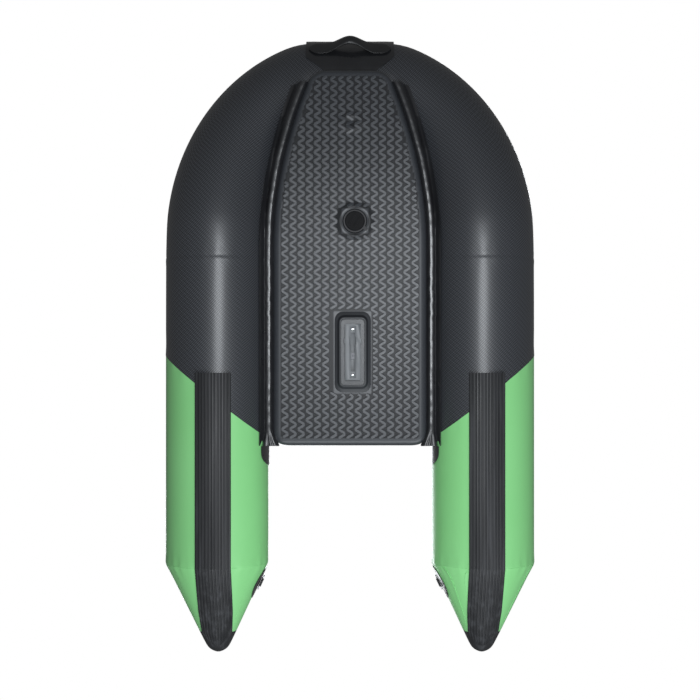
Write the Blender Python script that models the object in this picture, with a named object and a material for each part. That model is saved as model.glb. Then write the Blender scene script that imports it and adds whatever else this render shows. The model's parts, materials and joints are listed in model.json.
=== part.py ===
"""Belly boat: a two-chamber U hull with a drop-stitch floor, valves, fin box and tie rings.

Metres. The deck side is +Z, the bow points to -Y, and the hull rests on its two keel strakes
at z = 0. Distances called "aft" are measured along +Y from the shoulder, the place where the
straight pontoons begin to curve in to the bow.
"""

import math

import bmesh
import bpy
from mathutils import Matrix, Vector

# Hull, in plan and height
LEG_GAP = 0.478
TUBE_DIAMETER = 0.304
BOW_TUBE_DIAMETER = 0.260
BOW_LENGTH = 0.6036
BOW_FRONT_HALF_WIDTH = 0.143
BOW_RISE_POWER = 1.4
PONTOON_LENGTH = 0.9576
CONE_LENGTH = 0.2704
CONE_TILT = math.radians(8)
CONE_TIP_RADIUS = 0.040
TIP_FLAT_RADIUS = 0.006
CONE_CAP_LENGTH = 0.066
FABRIC = 0.0011
BULKHEAD = 0.0012
COLOUR_JOINT_AFT = 0.348
COLOUR_JOINT_SLOPE = 0.796

# Fits
GAP = 0.0003
LAY_GAP = 0.0005
FLOOR_TO_TUBE = 0.002

# Floor panel
FLOOR_SIDE_GAP = 0.0145
FLOOR_HEIGHT = 0.090
FLOOR_THICKNESS = 0.070
FLOOR_ROCKER = 0.020
FLOOR_NOSE_AFT = -0.486
FLOOR_TAIL_AFT = 0.6116
FLOOR_TAPER_AFT = 0.020
FLOOR_NOSE_TAPER = 0.115
FLOOR_TAPER_POWER = 1.9
FLOOR_CORNER = 0.036
FLOOR_EDGE = 0.018
FLOOR_SKIN = 0.0015
STITCH_PITCH = 0.060
STITCH_SHEET = 0.0012

# Tape between floor and tubes, and the tail corner patches
FLAP_THICKNESS = 0.0012
FLAP_UNDER_FLOOR = 0.012
FLAP_REACH = 0.026
FLAP_LIP = 0.011
FLAP_LIFT = 0.0016
CORNER_PATCH_LENGTH = 0.058
CORNER_PATCH_WIDTH = 0.148
CORNER_PATCH_THICKNESS = 0.0010
CORNER_PATCH_TURN = math.radians(1)

# Keel strakes
STRAKE_WIDTH = 0.103
STRAKE_START_AFT = 0.398
STRAKE_LAY = 0.0012
STRAKE_BASE = 0.0020
STRAKE_RIB = 0.0022
STRAKE_RIBS = 11

# Bow panel and grab handle
BOW_PANEL_HALF_WIDTH = 0.132
BOW_PANEL_THICKNESS = 0.0010
BOW_PANEL_TOP = math.radians(-40)
BOW_PANEL_BOTTOM = math.radians(83)
BOW_PANEL_WAIST = math.radians(60)
BOW_PANEL_NARROWING = 0.060
HANDLE_SPAN = 0.246
HANDLE_PAD = 0.072
HANDLE_PAD_WIDTH = 0.052
HANDLE_PAD_THICKNESS = 0.006
HANDLE_GRIP = 0.020
HANDLE_GRIP_WIDTH = 0.036
HANDLE_LIFT = 0.036
HANDLE_DROP = math.radians(46)
HANDLE_SECTIONS = 18

# Valves
VALVE_FLANGE_DIAMETER = 0.072
VALVE_BARREL_DIAMETER = 0.0436
VALVE_BORE = 0.036
VALVE_SEAT_BORE = 0.025
VALVE_DEPTH = 0.030
VALVE_CAP_DIAMETER = 0.057
VALVE_FLANGE = 0.0025
VALVE_NUT = 0.007
FLOOR_VALVE_X = 0.014
FLOOR_VALVE_AFT = -0.041
TUBE_VALVE_AFT = 0.760
VALVE_NUT_WALL = 0.008
VALVE_SEAT_DEPTH = 0.006
VALVE_BRIDGE_DROP = 0.014
VALVE_BRIDGE_DEPTH = 0.004
VALVE_BRIDGE_WIDTH = 0.006
VALVE_HUB_DIAMETER = 0.0116
VALVE_ROD_DIAMETER = 0.0056
VALVE_ROD_CLEARANCE = 0.0006
VALVE_BUTTON_DIAMETER = 0.010
VALVE_BUTTON_DROP = 0.004
VALVE_BUTTON_DEPTH = 0.0026
VALVE_DISC_DEPTH = 0.003
VALVE_DISC_LAP = 0.003
SPRING_RADIUS = 0.0041
SPRING_WIRE = 0.001
SPRING_COILS = 4
SPRING_END_GAP = 0.0009
CAP_THICKNESS = 0.005
CAP_SKIRT_DEPTH = 0.004
CAP_SKIRT_WALL = 0.002
GRIP_LENGTH = 0.033
GRIP_WIDTH = 0.0056
GRIP_SPACING = 0.017
GRIP_HEIGHT = 0.004
TETHER_WIDTH = 0.004
TETHER_THICKNESS = 0.0016
TETHER_TAB_LENGTH = 0.013
TETHER_TAB_WIDTH = 0.010
SMALL_BORE = 0.001

# Fin box
FIN_BOX_X = 0.008
FIN_BOX_AFT = 0.339
FIN_BASE_LENGTH = 0.235
FIN_BASE_WIDTH = 0.105
FIN_BASE_RIM = 0.014
FIN_RECESS_LENGTH = 0.191
FIN_RECESS_WIDTH = 0.0685
FIN_HOUSING_LENGTH = 0.1628
FIN_HOUSING_WIDTH = 0.0444
FIN_HOUSING_HEIGHT = 0.0200
FIN_GROOVE_WIDTH = 0.0165
FIN_SLOT_WIDTH = 0.0105
FIN_SLOT_LENGTH = 0.112
FIN_TRACK_WIDTH = 0.020
FIN_TRACK_HEIGHT = 0.008
FIN_NOTCH_LENGTH = 0.0145
FIN_NOTCH_OFFSET = -0.0325
FIN_TAB_WIDTH = 0.051
FIN_SCREW_SPACING = 0.1323
FIN_SCREW_HEAD = 0.009
FIN_SCREW_SHANK = 0.0044
FIN_SCREW_LENGTH = 0.0140
FIN_SCREW_DOME = 0.003
FIN_BASE_CORNER = 0.024
FIN_BASE_HEM = 0.0012
FIN_RECESS_CORNER = 0.010
FIN_GROOVE_DEPTH = 0.0015
FIN_LIP = 0.006
FIN_END_WALL = 0.006
CUT_PAST = 0.010
NUT_PLATE = 0.018
NUT_PLATE_BORE = 0.0042
NUT_PLATE_REST = 0.012
NUT_PLATE_THICKNESS = 0.004

# Tie rings
RING_WIDTH = 0.050
RING_DEPTH = 0.038
RING_WIRE = 0.0044
RING_PATCH_DIAMETER = 0.100
RING_PATCH_THICKNESS = 0.0012
RING_WEBBING = 0.025
RING_WEBBING_THICKNESS = 0.0015
RING_FOOT = 0.012
CONE_RING_PAST_SEAM = 0.0589
DECK_RING_AFT = 0.200

# Facets
TUBE_SIDES = 24
BOW_SPANS = 10
FLOOR_SPANS = 16
FLAP_SPANS = 28
PANEL_SPANS = 16
PATCH_STEP = 0.017
CAP_SHARES = (0, 0.35, 0.6, 0.8, 0.93, 1)

# Worked out from the sizes above
TUBE_RADIUS = TUBE_DIAMETER / 2
BOW_RADIUS = BOW_TUBE_DIAMETER / 2
TUBE_X = LEG_GAP / 2 + TUBE_RADIUS
HULL_HALF_WIDTH = TUBE_X + TUBE_RADIUS
HANDLE_SPREAD = math.hypot(
    HANDLE_GRIP / 2 * math.cos(HANDLE_DROP), HANDLE_GRIP_WIDTH / 2 * math.sin(HANDLE_DROP)
)
HANDLE_PROUD = (BOW_RADIUS + HANDLE_LIFT) * math.cos(HANDLE_DROP) + HANDLE_SPREAD - BOW_RADIUS
BOW_PROUD = max(HANDLE_PROUD, LAY_GAP + BOW_PANEL_THICKNESS)
SHOULDER_Y = (BOW_LENGTH + BOW_PROUD - PONTOON_LENGTH - CONE_LENGTH) / 2
FRONT_Y = SHOULDER_Y - BOW_LENGTH
SEAM_Y = SHOULDER_Y + PONTOON_LENGTH
ELLIPSE_REACH = BOW_LENGTH / math.sqrt(1 - (BOW_FRONT_HALF_WIDTH / HULL_HALF_WIDTH) ** 2)
STRAKE_CREST = TUBE_RADIUS + STRAKE_LAY + STRAKE_BASE + STRAKE_RIB
RIB_PITCH = STRAKE_WIDTH / STRAKE_RIBS
TUBE_Z = STRAKE_CREST * math.cos(0.25 * RIB_PITCH / TUBE_RADIUS)
NOSE_Y = SHOULDER_Y + FLOOR_NOSE_AFT
TAIL_Y = SHOULDER_Y + FLOOR_TAIL_AFT
FLOOR_HALF_WIDTH = LEG_GAP / 2 - FLOOR_SIDE_GAP
NOSE_TOP = FLOOR_HEIGHT + FLOOR_ROCKER + FLOOR_THICKNESS
BOW_Z = NOSE_TOP + FLOOR_TO_TUBE + 0.002 + BOW_RADIUS
SIDES = {"left": -1, "right": 1}


# Mesh helpers


def clear_scene():
    for item in list(bpy.data.objects):
        bpy.data.objects.remove(item, do_unlink=True)


def material(name, colour, roughness, metallic=0.0):
    finish = bpy.data.materials.get(name)
    if finish is None:
        finish = bpy.data.materials.new(name)
        finish.use_nodes = True
        shader = finish.node_tree.nodes["Principled BSDF"]
        shader.inputs["Base Color"].default_value = (*colour, 1.0)
        shader.inputs["Roughness"].default_value = roughness
        shader.inputs["Metallic"].default_value = metallic
    return finish


FINISHES = {
    "carbon_pvc": ((0.020, 0.020, 0.022), 0.45, 0.0),
    "green_pvc": ((0.150, 0.500, 0.160), 0.40, 0.0),
    "smooth_pvc": ((0.014, 0.014, 0.015), 0.30, 0.0),
    "floor_pvc": ((0.060, 0.065, 0.072), 0.42, 0.0),
    "stitch_yarn": ((0.600, 0.600, 0.580), 0.80, 0.0),
    "strake_rubber": ((0.012, 0.012, 0.013), 0.55, 0.0),
    "handle_rubber": ((0.014, 0.014, 0.015), 0.50, 0.0),
    "valve_plastic": ((0.010, 0.010, 0.011), 0.40, 0.0),
    "valve_seal": ((0.040, 0.040, 0.042), 0.60, 0.0),
    "fin_plastic": ((0.160, 0.170, 0.175), 0.45, 0.0),
    "steel": ((0.600, 0.600, 0.600), 0.25, 1.0),
    "webbing": ((0.012, 0.012, 0.013), 0.85, 0.0),
}


def finish(name):
    return material(name, *FINISHES[name])


def shade_round(mesh, angle=35):
    mesh.shade_smooth()
    mesh.set_sharp_from_angle(angle=math.radians(angle))


def add_object(name, points, faces, finish_name=None, place=None):
    """One named object whose mesh is closed with its faces pointing out."""
    mesh = bpy.data.meshes.new(name)
    mesh.from_pydata([tuple(point) for point in points], [], faces)
    solid = bmesh.new()
    solid.from_mesh(mesh)
    bmesh.ops.recalc_face_normals(solid, faces=solid.faces)
    solid.to_mesh(mesh)
    solid.free()
    shade_round(mesh)
    item = bpy.data.objects.new(name, mesh)
    bpy.context.collection.objects.link(item)
    if finish_name:
        mesh.materials.append(finish(finish_name))
    if place is not None:
        item.matrix_world = place
    return item


def strip_faces(rings, sides, wrap):
    faces = []
    for i in range(rings if wrap else rings - 1):
        after = (i + 1) % rings
        for j in range(sides):
            k = (j + 1) % sides
            faces.append((i * sides + j, i * sides + k, after * sides + k, after * sides + j))
    return faces


def loft(name, rings, finish_name=None, place=None, wrap=False):
    """Skin over equal rings: closed into a loop, or with a flat face on each end."""
    sides = len(rings[0])
    faces = strip_faces(len(rings), sides, wrap)
    if not wrap:
        last = (len(rings) - 1) * sides
        faces.append(tuple(range(sides)))
        faces.append(tuple(range(last + sides - 1, last - 1, -1)))
    points = [point for ring in rings for point in ring]
    return add_object(name, points, faces, finish_name, place)


def turned(name, profile, finish_name=None, place=None, sides=20, wrap=True):
    """A profile of (radius, z) turned about Z; it starts and ends on the axis if not wrapped."""
    rings = []
    for radius, z in profile:
        rings.append([round_point(radius, turn, z) for turn in turns(sides)])
    if wrap:
        return loft(name, rings, finish_name, place, wrap=True)
    return loft(name, rings, finish_name, place)


def turns(sides):
    return [2 * math.pi * i / sides for i in range(sides)]


def round_point(radius, turn, z):
    return (radius * math.cos(turn), radius * math.sin(turn), z)


def block(name, low, high, finish_name=None, place=None):
    corners = [(low[0], low[1]), (high[0], low[1]), (high[0], high[1]), (low[0], high[1])]
    rings = [[(x, y, z) for x, y in corners] for z in (low[2], high[2])]
    return loft(name, rings, finish_name, place)


def extruded(name, outline, start, end, finish_name=None, place=None):
    """An outline of (y, z) points extruded along X."""
    rings = [[(x, y, z) for y, z in outline] for x in (start, end)]
    return loft(name, rings, finish_name, place)


def cut(item, tool, operation="DIFFERENCE"):
    """A live Boolean; its tool is a hidden guide."""
    step = item.modifiers.new(tool.name, "BOOLEAN")
    step.operation = operation
    step.object = tool
    step.solver = "EXACT"
    tool.hide_render = True
    tool.display_type = "WIRE"
    return item


def swept_loop(name, path, wire, finish_name, place=None, sides=8):
    """A round wire along a closed flat path in the XY plane."""
    rings = []
    count = len(path)
    for i, point in enumerate(path):
        along = (path[(i + 1) % count] - path[i - 1]).normalized()
        across = Vector((along.y, -along.x, 0))
        ring = []
        for turn in turns(sides):
            offset = across * math.cos(turn) + Vector((0, 0, math.sin(turn)))
            ring.append(point + offset * wire / 2)
        rings.append(ring)
    return loft(name, rings, finish_name, place, wrap=True)


# The hull's tube, described by upright rings


class Station:
    """An upright ring of the right-hand tube: its centre, its outward direction and radius."""

    def __init__(self, centre, out, radius):
        self.centre = Vector(centre)
        self.out = Vector(out)
        self.radius = radius

    def point(self, side, turn, offset=0.0):
        reach = self.radius + offset
        x = self.centre.x + self.out.x * reach * math.cos(turn)
        y = self.centre.y + self.out.y * reach * math.cos(turn)
        return Vector((side * x, y, self.centre.z + reach * math.sin(turn)))

    def ring(self, side, offset=0.0):
        return [self.point(side, turn, offset) for turn in turns(TUBE_SIDES)]


def bow_height(outer_y):
    share = (SHOULDER_Y - outer_y) / BOW_LENGTH
    return TUBE_Z + (BOW_Z - TUBE_Z) * share**BOW_RISE_POWER


def bow_station(outer, out, stretch=1.0):
    share = (SHOULDER_Y - outer[1]) / BOW_LENGTH
    radius = TUBE_RADIUS + (BOW_RADIUS - TUBE_RADIUS) * share**2
    inset = radius * stretch
    centre = (outer[0] - out[0] * inset, outer[1] - out[1] * inset, bow_height(outer[1]))
    return Station(centre, (out[0] * stretch, out[1] * stretch, 0), radius)


def bow_stations(middle):
    """Rings from the shoulder forward, past the front corner, to a middle ring near x = 0."""
    corner_turn = math.acos(BOW_FRONT_HALF_WIDTH / HULL_HALF_WIDTH)
    stations = []
    for i in range(BOW_SPANS):
        turn = corner_turn * i / BOW_SPANS
        outer = (HULL_HALF_WIDTH * math.cos(turn), SHOULDER_Y - ELLIPSE_REACH * math.sin(turn))
        out = Vector((ELLIPSE_REACH * math.cos(turn), -HULL_HALF_WIDTH * math.sin(turn)))
        stations.append(bow_station(outer, out.normalized()))
    side_out = Vector(
        (ELLIPSE_REACH * math.cos(corner_turn), -HULL_HALF_WIDTH * math.sin(corner_turn))
    ).normalized()
    corner_out = (side_out + Vector((0, -1))).normalized()
    stretch = 1 / corner_out.dot(side_out)
    stations.append(bow_station((BOW_FRONT_HALF_WIDTH, FRONT_Y), corner_out, stretch))
    stations.append(bow_station((middle, FRONT_Y), (0, -1)))
    return stations


def pontoon_station(y, radius=TUBE_RADIUS, z=TUBE_Z):
    return Station((TUBE_X, y, z), (1, 0, 0), radius)


def cone_radius(run):
    """Radius a distance aft of the seam: a straight cone that ends in a round tip."""
    tip_centre = CONE_LENGTH - CONE_TIP_RADIUS
    half = cone_half_angle()
    tangent = tip_centre + CONE_TIP_RADIUS * math.sin(half)
    if run < tangent:
        return TUBE_RADIUS - run * math.tan(half)
    return math.sqrt(max(CONE_TIP_RADIUS**2 - (run - tip_centre) ** 2, 0.0))


def cone_half_angle():
    """Slope of the line from the seam's rim that touches the tip's ball."""
    run = CONE_LENGTH - CONE_TIP_RADIUS
    reach = math.hypot(run, TUBE_RADIUS)
    return math.atan2(TUBE_RADIUS, run) - math.asin(CONE_TIP_RADIUS / reach)


def cone_station(run, inset=0.0):
    rise = TUBE_Z + run * math.tan(CONE_TILT)
    return pontoon_station(SEAM_Y + run, max(cone_radius(run) - inset, TIP_FLAT_RADIUS), rise)


def aft_station(aft):
    """The pontoon or cone ring a distance aft of the shoulder."""
    if aft <= PONTOON_LENGTH:
        return pontoon_station(SHOULDER_Y + aft)
    return cone_station(aft - PONTOON_LENGTH)


def joint_ring(side, offset, shift):
    """The slanting ring where the black bow fabric meets the green pontoon."""
    ring = []
    for point in pontoon_station(SHOULDER_Y).ring(side, offset):
        inward = HULL_HALF_WIDTH - abs(point.x)
        aft = COLOUR_JOINT_AFT + inward * COLOUR_JOINT_SLOPE
        ring.append(Vector((point.x, SHOULDER_Y + aft + shift, point.z)))
    return ring


def sleeve(name, outer, inner, finish_name=None):
    """An open-ended skin between matching outer and inner rings."""
    return loft(name, outer + inner[::-1], finish_name, wrap=True)


def bow_rings(side, offset):
    stations = bow_stations(BULKHEAD / 2 + GAP)
    return [joint_ring(side, offset, 0)] + [station.ring(side, offset) for station in stations]


def build_bow_tubes():
    for word, side in SIDES.items():
        sleeve(f"{word}_bow_tube", bow_rings(side, 0), bow_rings(side, -FABRIC), "carbon_pvc")
    middle = bow_stations(0)[-1]
    rings = []
    for x in (-BULKHEAD / 2, BULKHEAD / 2):
        ring = middle.ring(1)
        rings.append([Vector((x, point.y, point.z)) for point in ring])
    loft("bow_bulkhead", rings, "smooth_pvc")


def build_pontoons():
    for word, side in SIDES.items():
        rings = []
        for offset in (0, -FABRIC):
            end = pontoon_station(SEAM_Y - GAP / 2).ring(side, offset)
            rings.append([joint_ring(side, offset, GAP), end])
        tube = sleeve(f"{word}_pontoon_tube", rings[0], rings[1], "green_pvc")
        hole = turned(
            f"{word}_valve_hole",
            [(valve_hole() / 2, -0.02), (valve_hole() / 2, 0.02)],
            place=Matrix.Translation(tube_valve_seat(side)),
            wrap=False,
        )
        cut(tube, hole)


def build_cones():
    cap_start = CONE_LENGTH - CONE_CAP_LENGTH
    runs = [cap_start * share for share in (0, 0.25, 0.5, 0.75, 1)]
    cap_runs = [cap_start + CONE_CAP_LENGTH * share for share in CAP_SHARES]
    for word, side in SIDES.items():
        runs[0] = GAP / 2
        outer = [cone_station(run).ring(side) for run in runs]
        inner = [cone_station(run, FABRIC).ring(side) for run in runs]
        sleeve(f"{word}_stern_cone", outer, inner, "green_pvc")
        outer = [cone_station(run + GAP if run == cap_start else run).ring(side) for run in cap_runs]
        wall = 2 * FABRIC
        inner = [
            cone_station(min(run + GAP, CONE_LENGTH - wall), wall).ring(side) for run in cap_runs[:4]
        ]
        inner.append(cone_station(CONE_LENGTH - wall, wall).ring(side))
        loft(f"{word}_cone_cap", inner[::-1] + outer, "strake_rubber")


# Where the tube's underside lies over a point of the plan


def tube_underside(x, y, gap=0.0):
    """Height just below the tube's lower surface over (x, y), or None beside the tube."""
    spot = Vector((x, y))
    nearest = None
    stations = [pontoon_station(SEAM_Y)] + bow_stations(0)
    for first, second in zip(stations, stations[1:]):
        run = second.centre.xy - first.centre.xy
        share = (spot - first.centre.xy).dot(run) / run.length_squared
        share = min(max(share, 0.0), 1.0)
        centre = first.centre.lerp(second.centre, share)
        away = (centre.xy - spot).length
        if nearest is None or away < nearest[0]:
            radius = first.radius + (second.radius - first.radius) * share + gap
            nearest = (away, radius, centre.z)
    away, radius, height = nearest
    if away >= radius:
        return None
    return height - math.sqrt(radius**2 - away**2)


# Keel strakes


def strake_ring(side, station):
    """A ribbed strip wrapped round the bottom of a ring."""
    half = STRAKE_WIDTH / 2 / station.radius
    pitch = 2 * half / STRAKE_RIBS
    low = STRAKE_LAY + STRAKE_BASE
    high = low + STRAKE_RIB
    outer = [(-half, low)]
    for rib in range(STRAKE_RIBS):
        start = -half + rib * pitch
        outer += [
            (start + 0.12 * pitch, low),
            (start + 0.25 * pitch, high),
            (start + 0.75 * pitch, high),
            (start + 0.88 * pitch, low),
        ]
    outer.append((half, low))
    inner = [(half - 2 * half * i / 12, STRAKE_LAY) for i in range(13)]
    bottom = -math.pi / 2
    return [station.point(side, bottom + turn, offset) for turn, offset in outer + inner]


def build_strakes():
    cap_run = CONE_LENGTH - CONE_CAP_LENGTH
    for word, side in SIDES.items():
        stations = [aft_station(STRAKE_START_AFT), pontoon_station(SEAM_Y)]
        for share in (0.33, 0.67, 1.0):
            stations.append(cone_station(cap_run * share))
        for share in CAP_SHARES[1:3]:
            stations.append(cone_station(cap_run + CONE_CAP_LENGTH * share))
        rings = [strake_ring(side, station) for station in stations]
        loft(f"{word}_keel_strake", rings, "strake_rubber")


# Floor panel


def floor_lift(y):
    share = max((SHOULDER_Y + FLOOR_TAPER_AFT - y) / (FLOOR_TAPER_AFT - FLOOR_NOSE_AFT), 0)
    return FLOOR_HEIGHT + FLOOR_ROCKER * share**2


def floor_half_width(y):
    share = max((SHOULDER_Y + FLOOR_TAPER_AFT - y) / (FLOOR_TAPER_AFT - FLOOR_NOSE_AFT), 0)
    return FLOOR_HALF_WIDTH - FLOOR_NOSE_TAPER * share**FLOOR_TAPER_POWER


def round_inset(distance, radius):
    """How far a quarter-round edge is drawn in at a distance from its end."""
    if distance >= radius:
        return 0.0
    return radius - math.sqrt(radius**2 - (radius - distance) ** 2)


def floor_ring(y, inset):
    """A section across the panel, with its four long edges rounded."""
    to_end = min(y - NOSE_Y, TAIL_Y - y) - inset
    to_end = max(to_end, 0.0)
    half = floor_half_width(y) - inset - round_inset(to_end, FLOOR_CORNER)
    pinch = inset + round_inset(to_end, FLOOR_EDGE)
    bottom = floor_lift(y) + pinch
    top = floor_lift(y) + FLOOR_THICKNESS - pinch
    edge = min(FLOOR_EDGE, (top - bottom) * 0.45)
    ring = []
    for quarter, x, z in ((0, half, top), (1, -half, top), (2, -half, bottom), (3, half, bottom)):
        centre_x = x - math.copysign(edge, x)
        centre_z = z - math.copysign(edge, z - (top + bottom) / 2)
        for step in range(4):
            turn = math.pi / 2 * (quarter + step / 3)
            ring.append((centre_x + edge * math.cos(turn), y, centre_z + edge * math.sin(turn)))
    return ring


def floor_stations(inset):
    ends = [FLOOR_CORNER * share for share in (0, 0.1, 0.3, 0.6)]
    low = NOSE_Y + inset
    high = TAIL_Y - inset
    middle_low = low + FLOOR_CORNER
    middle_high = high - FLOOR_CORNER
    middle = [
        middle_low + (middle_high - middle_low) * i / FLOOR_SPANS for i in range(FLOOR_SPANS + 1)
    ]
    return [low + end for end in ends] + middle + [high - end for end in ends[::-1]]


def tube_envelope(name, side, grown):
    """The tube as a solid guide, grown by a clearance, for trimming the floor."""
    rings = [pontoon_station(SEAM_Y).ring(side, grown)]
    for station in bow_stations(-0.01):
        rings.append(station.ring(side, grown))
    return loft(name, rings)


def floor_volume(name, inset, finish_name=None):
    """The panel's shape drawn in by an inset, and trimmed where the tubes press on it."""
    rings = [floor_ring(y, inset) for y in floor_stations(inset)]
    volume = loft(name, rings, finish_name)
    for word, side in SIDES.items():
        cut(volume, tube_envelope(f"{name}_{word}_trim", side, FLOOR_TO_TUBE + inset))
    return volume


def build_floor():
    panel = floor_volume("floor_panel", 0, "floor_pvc")
    cut(panel, floor_volume("floor_hollow", FLOOR_SKIN))
    hole = turned(
        "floor_valve_hole",
        [(valve_hole() / 2, -0.006), (valve_hole() / 2, 0.006)],
        place=Matrix.Translation(floor_valve_seat()),
        wrap=False,
    )
    cut(panel, hole)


def build_drop_stitch():
    """The yarn rows that tie bottom to top, as one sheet folded to and fro between them."""
    clear = FLOOR_SKIN + 2 * GAP
    first = NOSE_Y + FLOOR_CORNER
    last = TAIL_Y - FLOOR_CORNER
    folds = 2 * round((last - first) / STITCH_PITCH / 2)
    upper = []
    lower = []
    for i in range(folds + 1):
        y = first + (last - first) * i / folds
        bottom = floor_lift(y) + clear
        top = floor_lift(y) + FLOOR_THICKNESS - clear
        if i % 2:
            upper.append((y, top))
            lower.append((y, top - 4 * STITCH_SHEET))
        else:
            upper.append((y, bottom + 4 * STITCH_SHEET))
            lower.append((y, bottom))
    reach = FLOOR_HALF_WIDTH + FLOOR_EDGE
    sheet = extruded("drop_stitch_web", upper + lower[::-1], -reach, reach, "stitch_yarn")
    cut(sheet, floor_volume("drop_stitch_room", FLOOR_SKIN + GAP), "INTERSECT")
    room = turned(
        "valve_room",
        [(VALVE_FLANGE_DIAMETER / 2, -0.02), (VALVE_FLANGE_DIAMETER / 2, 0.15)],
        place=Matrix.Translation(floor_valve_seat()),
        wrap=False,
    )
    cut(sheet, room)


# Tape between the floor and the tubes


def flap_ring(side, y):
    edge = floor_half_width(y)
    base = floor_lift(y) - LAY_GAP
    reach = edge + FLAP_REACH + FLAP_REACH * 0.5 * (floor_lift(y) - FLOOR_HEIGHT) / FLOOR_ROCKER
    while tube_underside(reach, y) is None:
        reach += 0.002
    middle = edge + (reach - edge) * 0.15
    line = [
        (edge - FLAP_UNDER_FLOOR, base),
        (edge - 0.25 * FLAP_UNDER_FLOOR, base),
        (middle, base + 0.0008),
        (reach, tube_underside(reach, y, FLAP_LIFT)),
        (reach + FLAP_LIP / 2, tube_underside(reach + FLAP_LIP / 2, y, FLAP_LIFT)),
        (reach + FLAP_LIP, tube_underside(reach + FLAP_LIP, y, FLAP_LIFT)),
    ]
    low = [Vector((side * x, y, z - FLAP_THICKNESS)) for x, z in line]
    high = [Vector((side * x, y, z)) for x, z in line]
    return low + high[::-1]


def build_flaps():
    first = NOSE_Y + FLOOR_CORNER
    last = TAIL_Y - GAP
    for word, side in SIDES.items():
        rings = []
        for i in range(FLAP_SPANS + 1):
            rings.append(flap_ring(side, first + (last - first) * i / FLAP_SPANS))
        loft(f"{word}_floor_flap", rings, "smooth_pvc")


def laid_patch(name, spot, radius, thickness, finish_name, spans=16):
    """A round patch laid on a curved surface that spot(along, across, lift) gives."""
    outline = [round_point(radius, turn, 0)[:2] for turn in turns(spans)]
    count = math.ceil(radius / PATCH_STEP)
    shares = [0.04 + 0.96 * i / count for i in range(count + 1)]
    steps = [(share, LAY_GAP) for share in shares]
    steps += [(share, LAY_GAP + thickness) for share in shares[::-1]]
    rings = []
    for share, lift in steps:
        rings.append([spot(along * share, across * share, lift) for along, across in outline])
    return loft(name, rings, finish_name)


def tube_spot(side, aft, turn):
    """Places on the pontoon or cone round one point of it, for laying a patch."""

    def spot(along, across, lift):
        station = aft_station(aft + along)
        return station.point(side, turn + across / station.radius, lift)

    return spot


def patch_ring(side, station, middle, half_turn):
    """A thin section bent round the tube, half_turn each way from its middle."""
    steps = [middle + half_turn * (i / 7 - 1) for i in range(15)]
    low = [station.point(side, turn, LAY_GAP) for turn in steps]
    high = [station.point(side, turn, LAY_GAP + CORNER_PATCH_THICKNESS) for turn in steps]
    return low + high[::-1]


def build_corner_patches():
    """Rounded tongues on the inner side of each tube, just aft of the floor's tail."""
    first = FLOOR_TAIL_AFT + LAY_GAP
    half_turn = CORNER_PATCH_WIDTH / 2 / TUBE_RADIUS
    for word, side in SIDES.items():
        rings = []
        for share in (0, 0.4, 0.6, 0.8, 0.92, 1):
            narrow = math.sqrt(1 - (max(share - 0.4, 0) / 0.6) ** 2 * 0.96)
            station = aft_station(first + CORNER_PATCH_LENGTH * share)
            rings.append(patch_ring(side, station, math.pi + CORNER_PATCH_TURN, half_turn * narrow))
        loft(f"{word}_corner_patch", rings, "smooth_pvc")


# Bow panel and handle


def bow_arc(turn, lift):
    """(y, z) on the level front tube: turn 0 faces forward, and it grows downward."""
    reach = BOW_RADIUS + lift
    return (
        FRONT_Y + BOW_RADIUS - reach * math.cos(turn),
        BOW_Z - reach * math.sin(turn),
    )


def build_bow_panel():
    """A patch wrapped under the front tube, narrowing where the tube turns aft below it."""
    run = BOW_PANEL_BOTTOM - BOW_PANEL_TOP
    rings = []
    for i in range(PANEL_SPANS + 1):
        turn = BOW_PANEL_TOP + run * i / PANEL_SPANS
        past = max((turn - BOW_PANEL_WAIST) / (BOW_PANEL_BOTTOM - BOW_PANEL_WAIST), 0)
        half = BOW_PANEL_HALF_WIDTH - BOW_PANEL_NARROWING * past
        low_y, low_z = bow_arc(turn, LAY_GAP)
        high_y, high_z = bow_arc(turn, LAY_GAP + BOW_PANEL_THICKNESS)
        corners = [(-half, low_y, low_z), (half, low_y, low_z)]
        corners += [(half, high_y, high_z), (-half, high_y, high_z)]
        rings.append([Vector(corner) for corner in corners])
    loft("bow_panel", rings, "smooth_pvc")


def build_bow_handle():
    """A moulded grip that rises between two flat welded pads."""
    base = BOW_RADIUS + 2 * LAY_GAP + BOW_PANEL_THICKNESS + 0.0005
    out = Vector((0, -math.cos(HANDLE_DROP), -math.sin(HANDLE_DROP)))
    down = Vector((0, math.sin(HANDLE_DROP), -math.cos(HANDLE_DROP)))
    middle = Vector((0, FRONT_Y + BOW_RADIUS, BOW_Z))
    half = HANDLE_SPAN / 2
    arch = half - HANDLE_PAD
    rings = []
    for i in range(HANDLE_SECTIONS + 1):
        share = 2 * i / HANDLE_SECTIONS - 1
        x = share * half
        rise = 0.5 + 0.5 * math.cos(math.pi * min(abs(x) / (arch + 0.35 * HANDLE_PAD), 1))
        tip = round_inset((1 - abs(share)) * half, HANDLE_PAD_WIDTH / 2)
        width = HANDLE_PAD_WIDTH / 2 - tip * 0.85
        width += (HANDLE_GRIP_WIDTH / 2 - width) * min(rise * 1.6, 1)
        thick = HANDLE_PAD_THICKNESS / 2 + (HANDLE_GRIP - HANDLE_PAD_THICKNESS) / 2 * rise
        height = base + HANDLE_PAD_THICKNESS / 2 + pad_lift(base) * rise
        centre = middle + out * height + Vector((x, 0, 0))
        ring = []
        for turn in turns(12):
            ring.append(centre + down * width * math.cos(turn) + out * thick * math.sin(turn))
        rings.append(ring)
    loft("bow_handle", rings, "handle_rubber")


def pad_lift(base):
    return BOW_RADIUS + HANDLE_LIFT - base - HANDLE_PAD_THICKNESS / 2


# Valves, built standing on z = 0 with the outside of the boat above


def valve_hole():
    return VALVE_BARREL_DIAMETER + 4 * GAP


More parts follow.
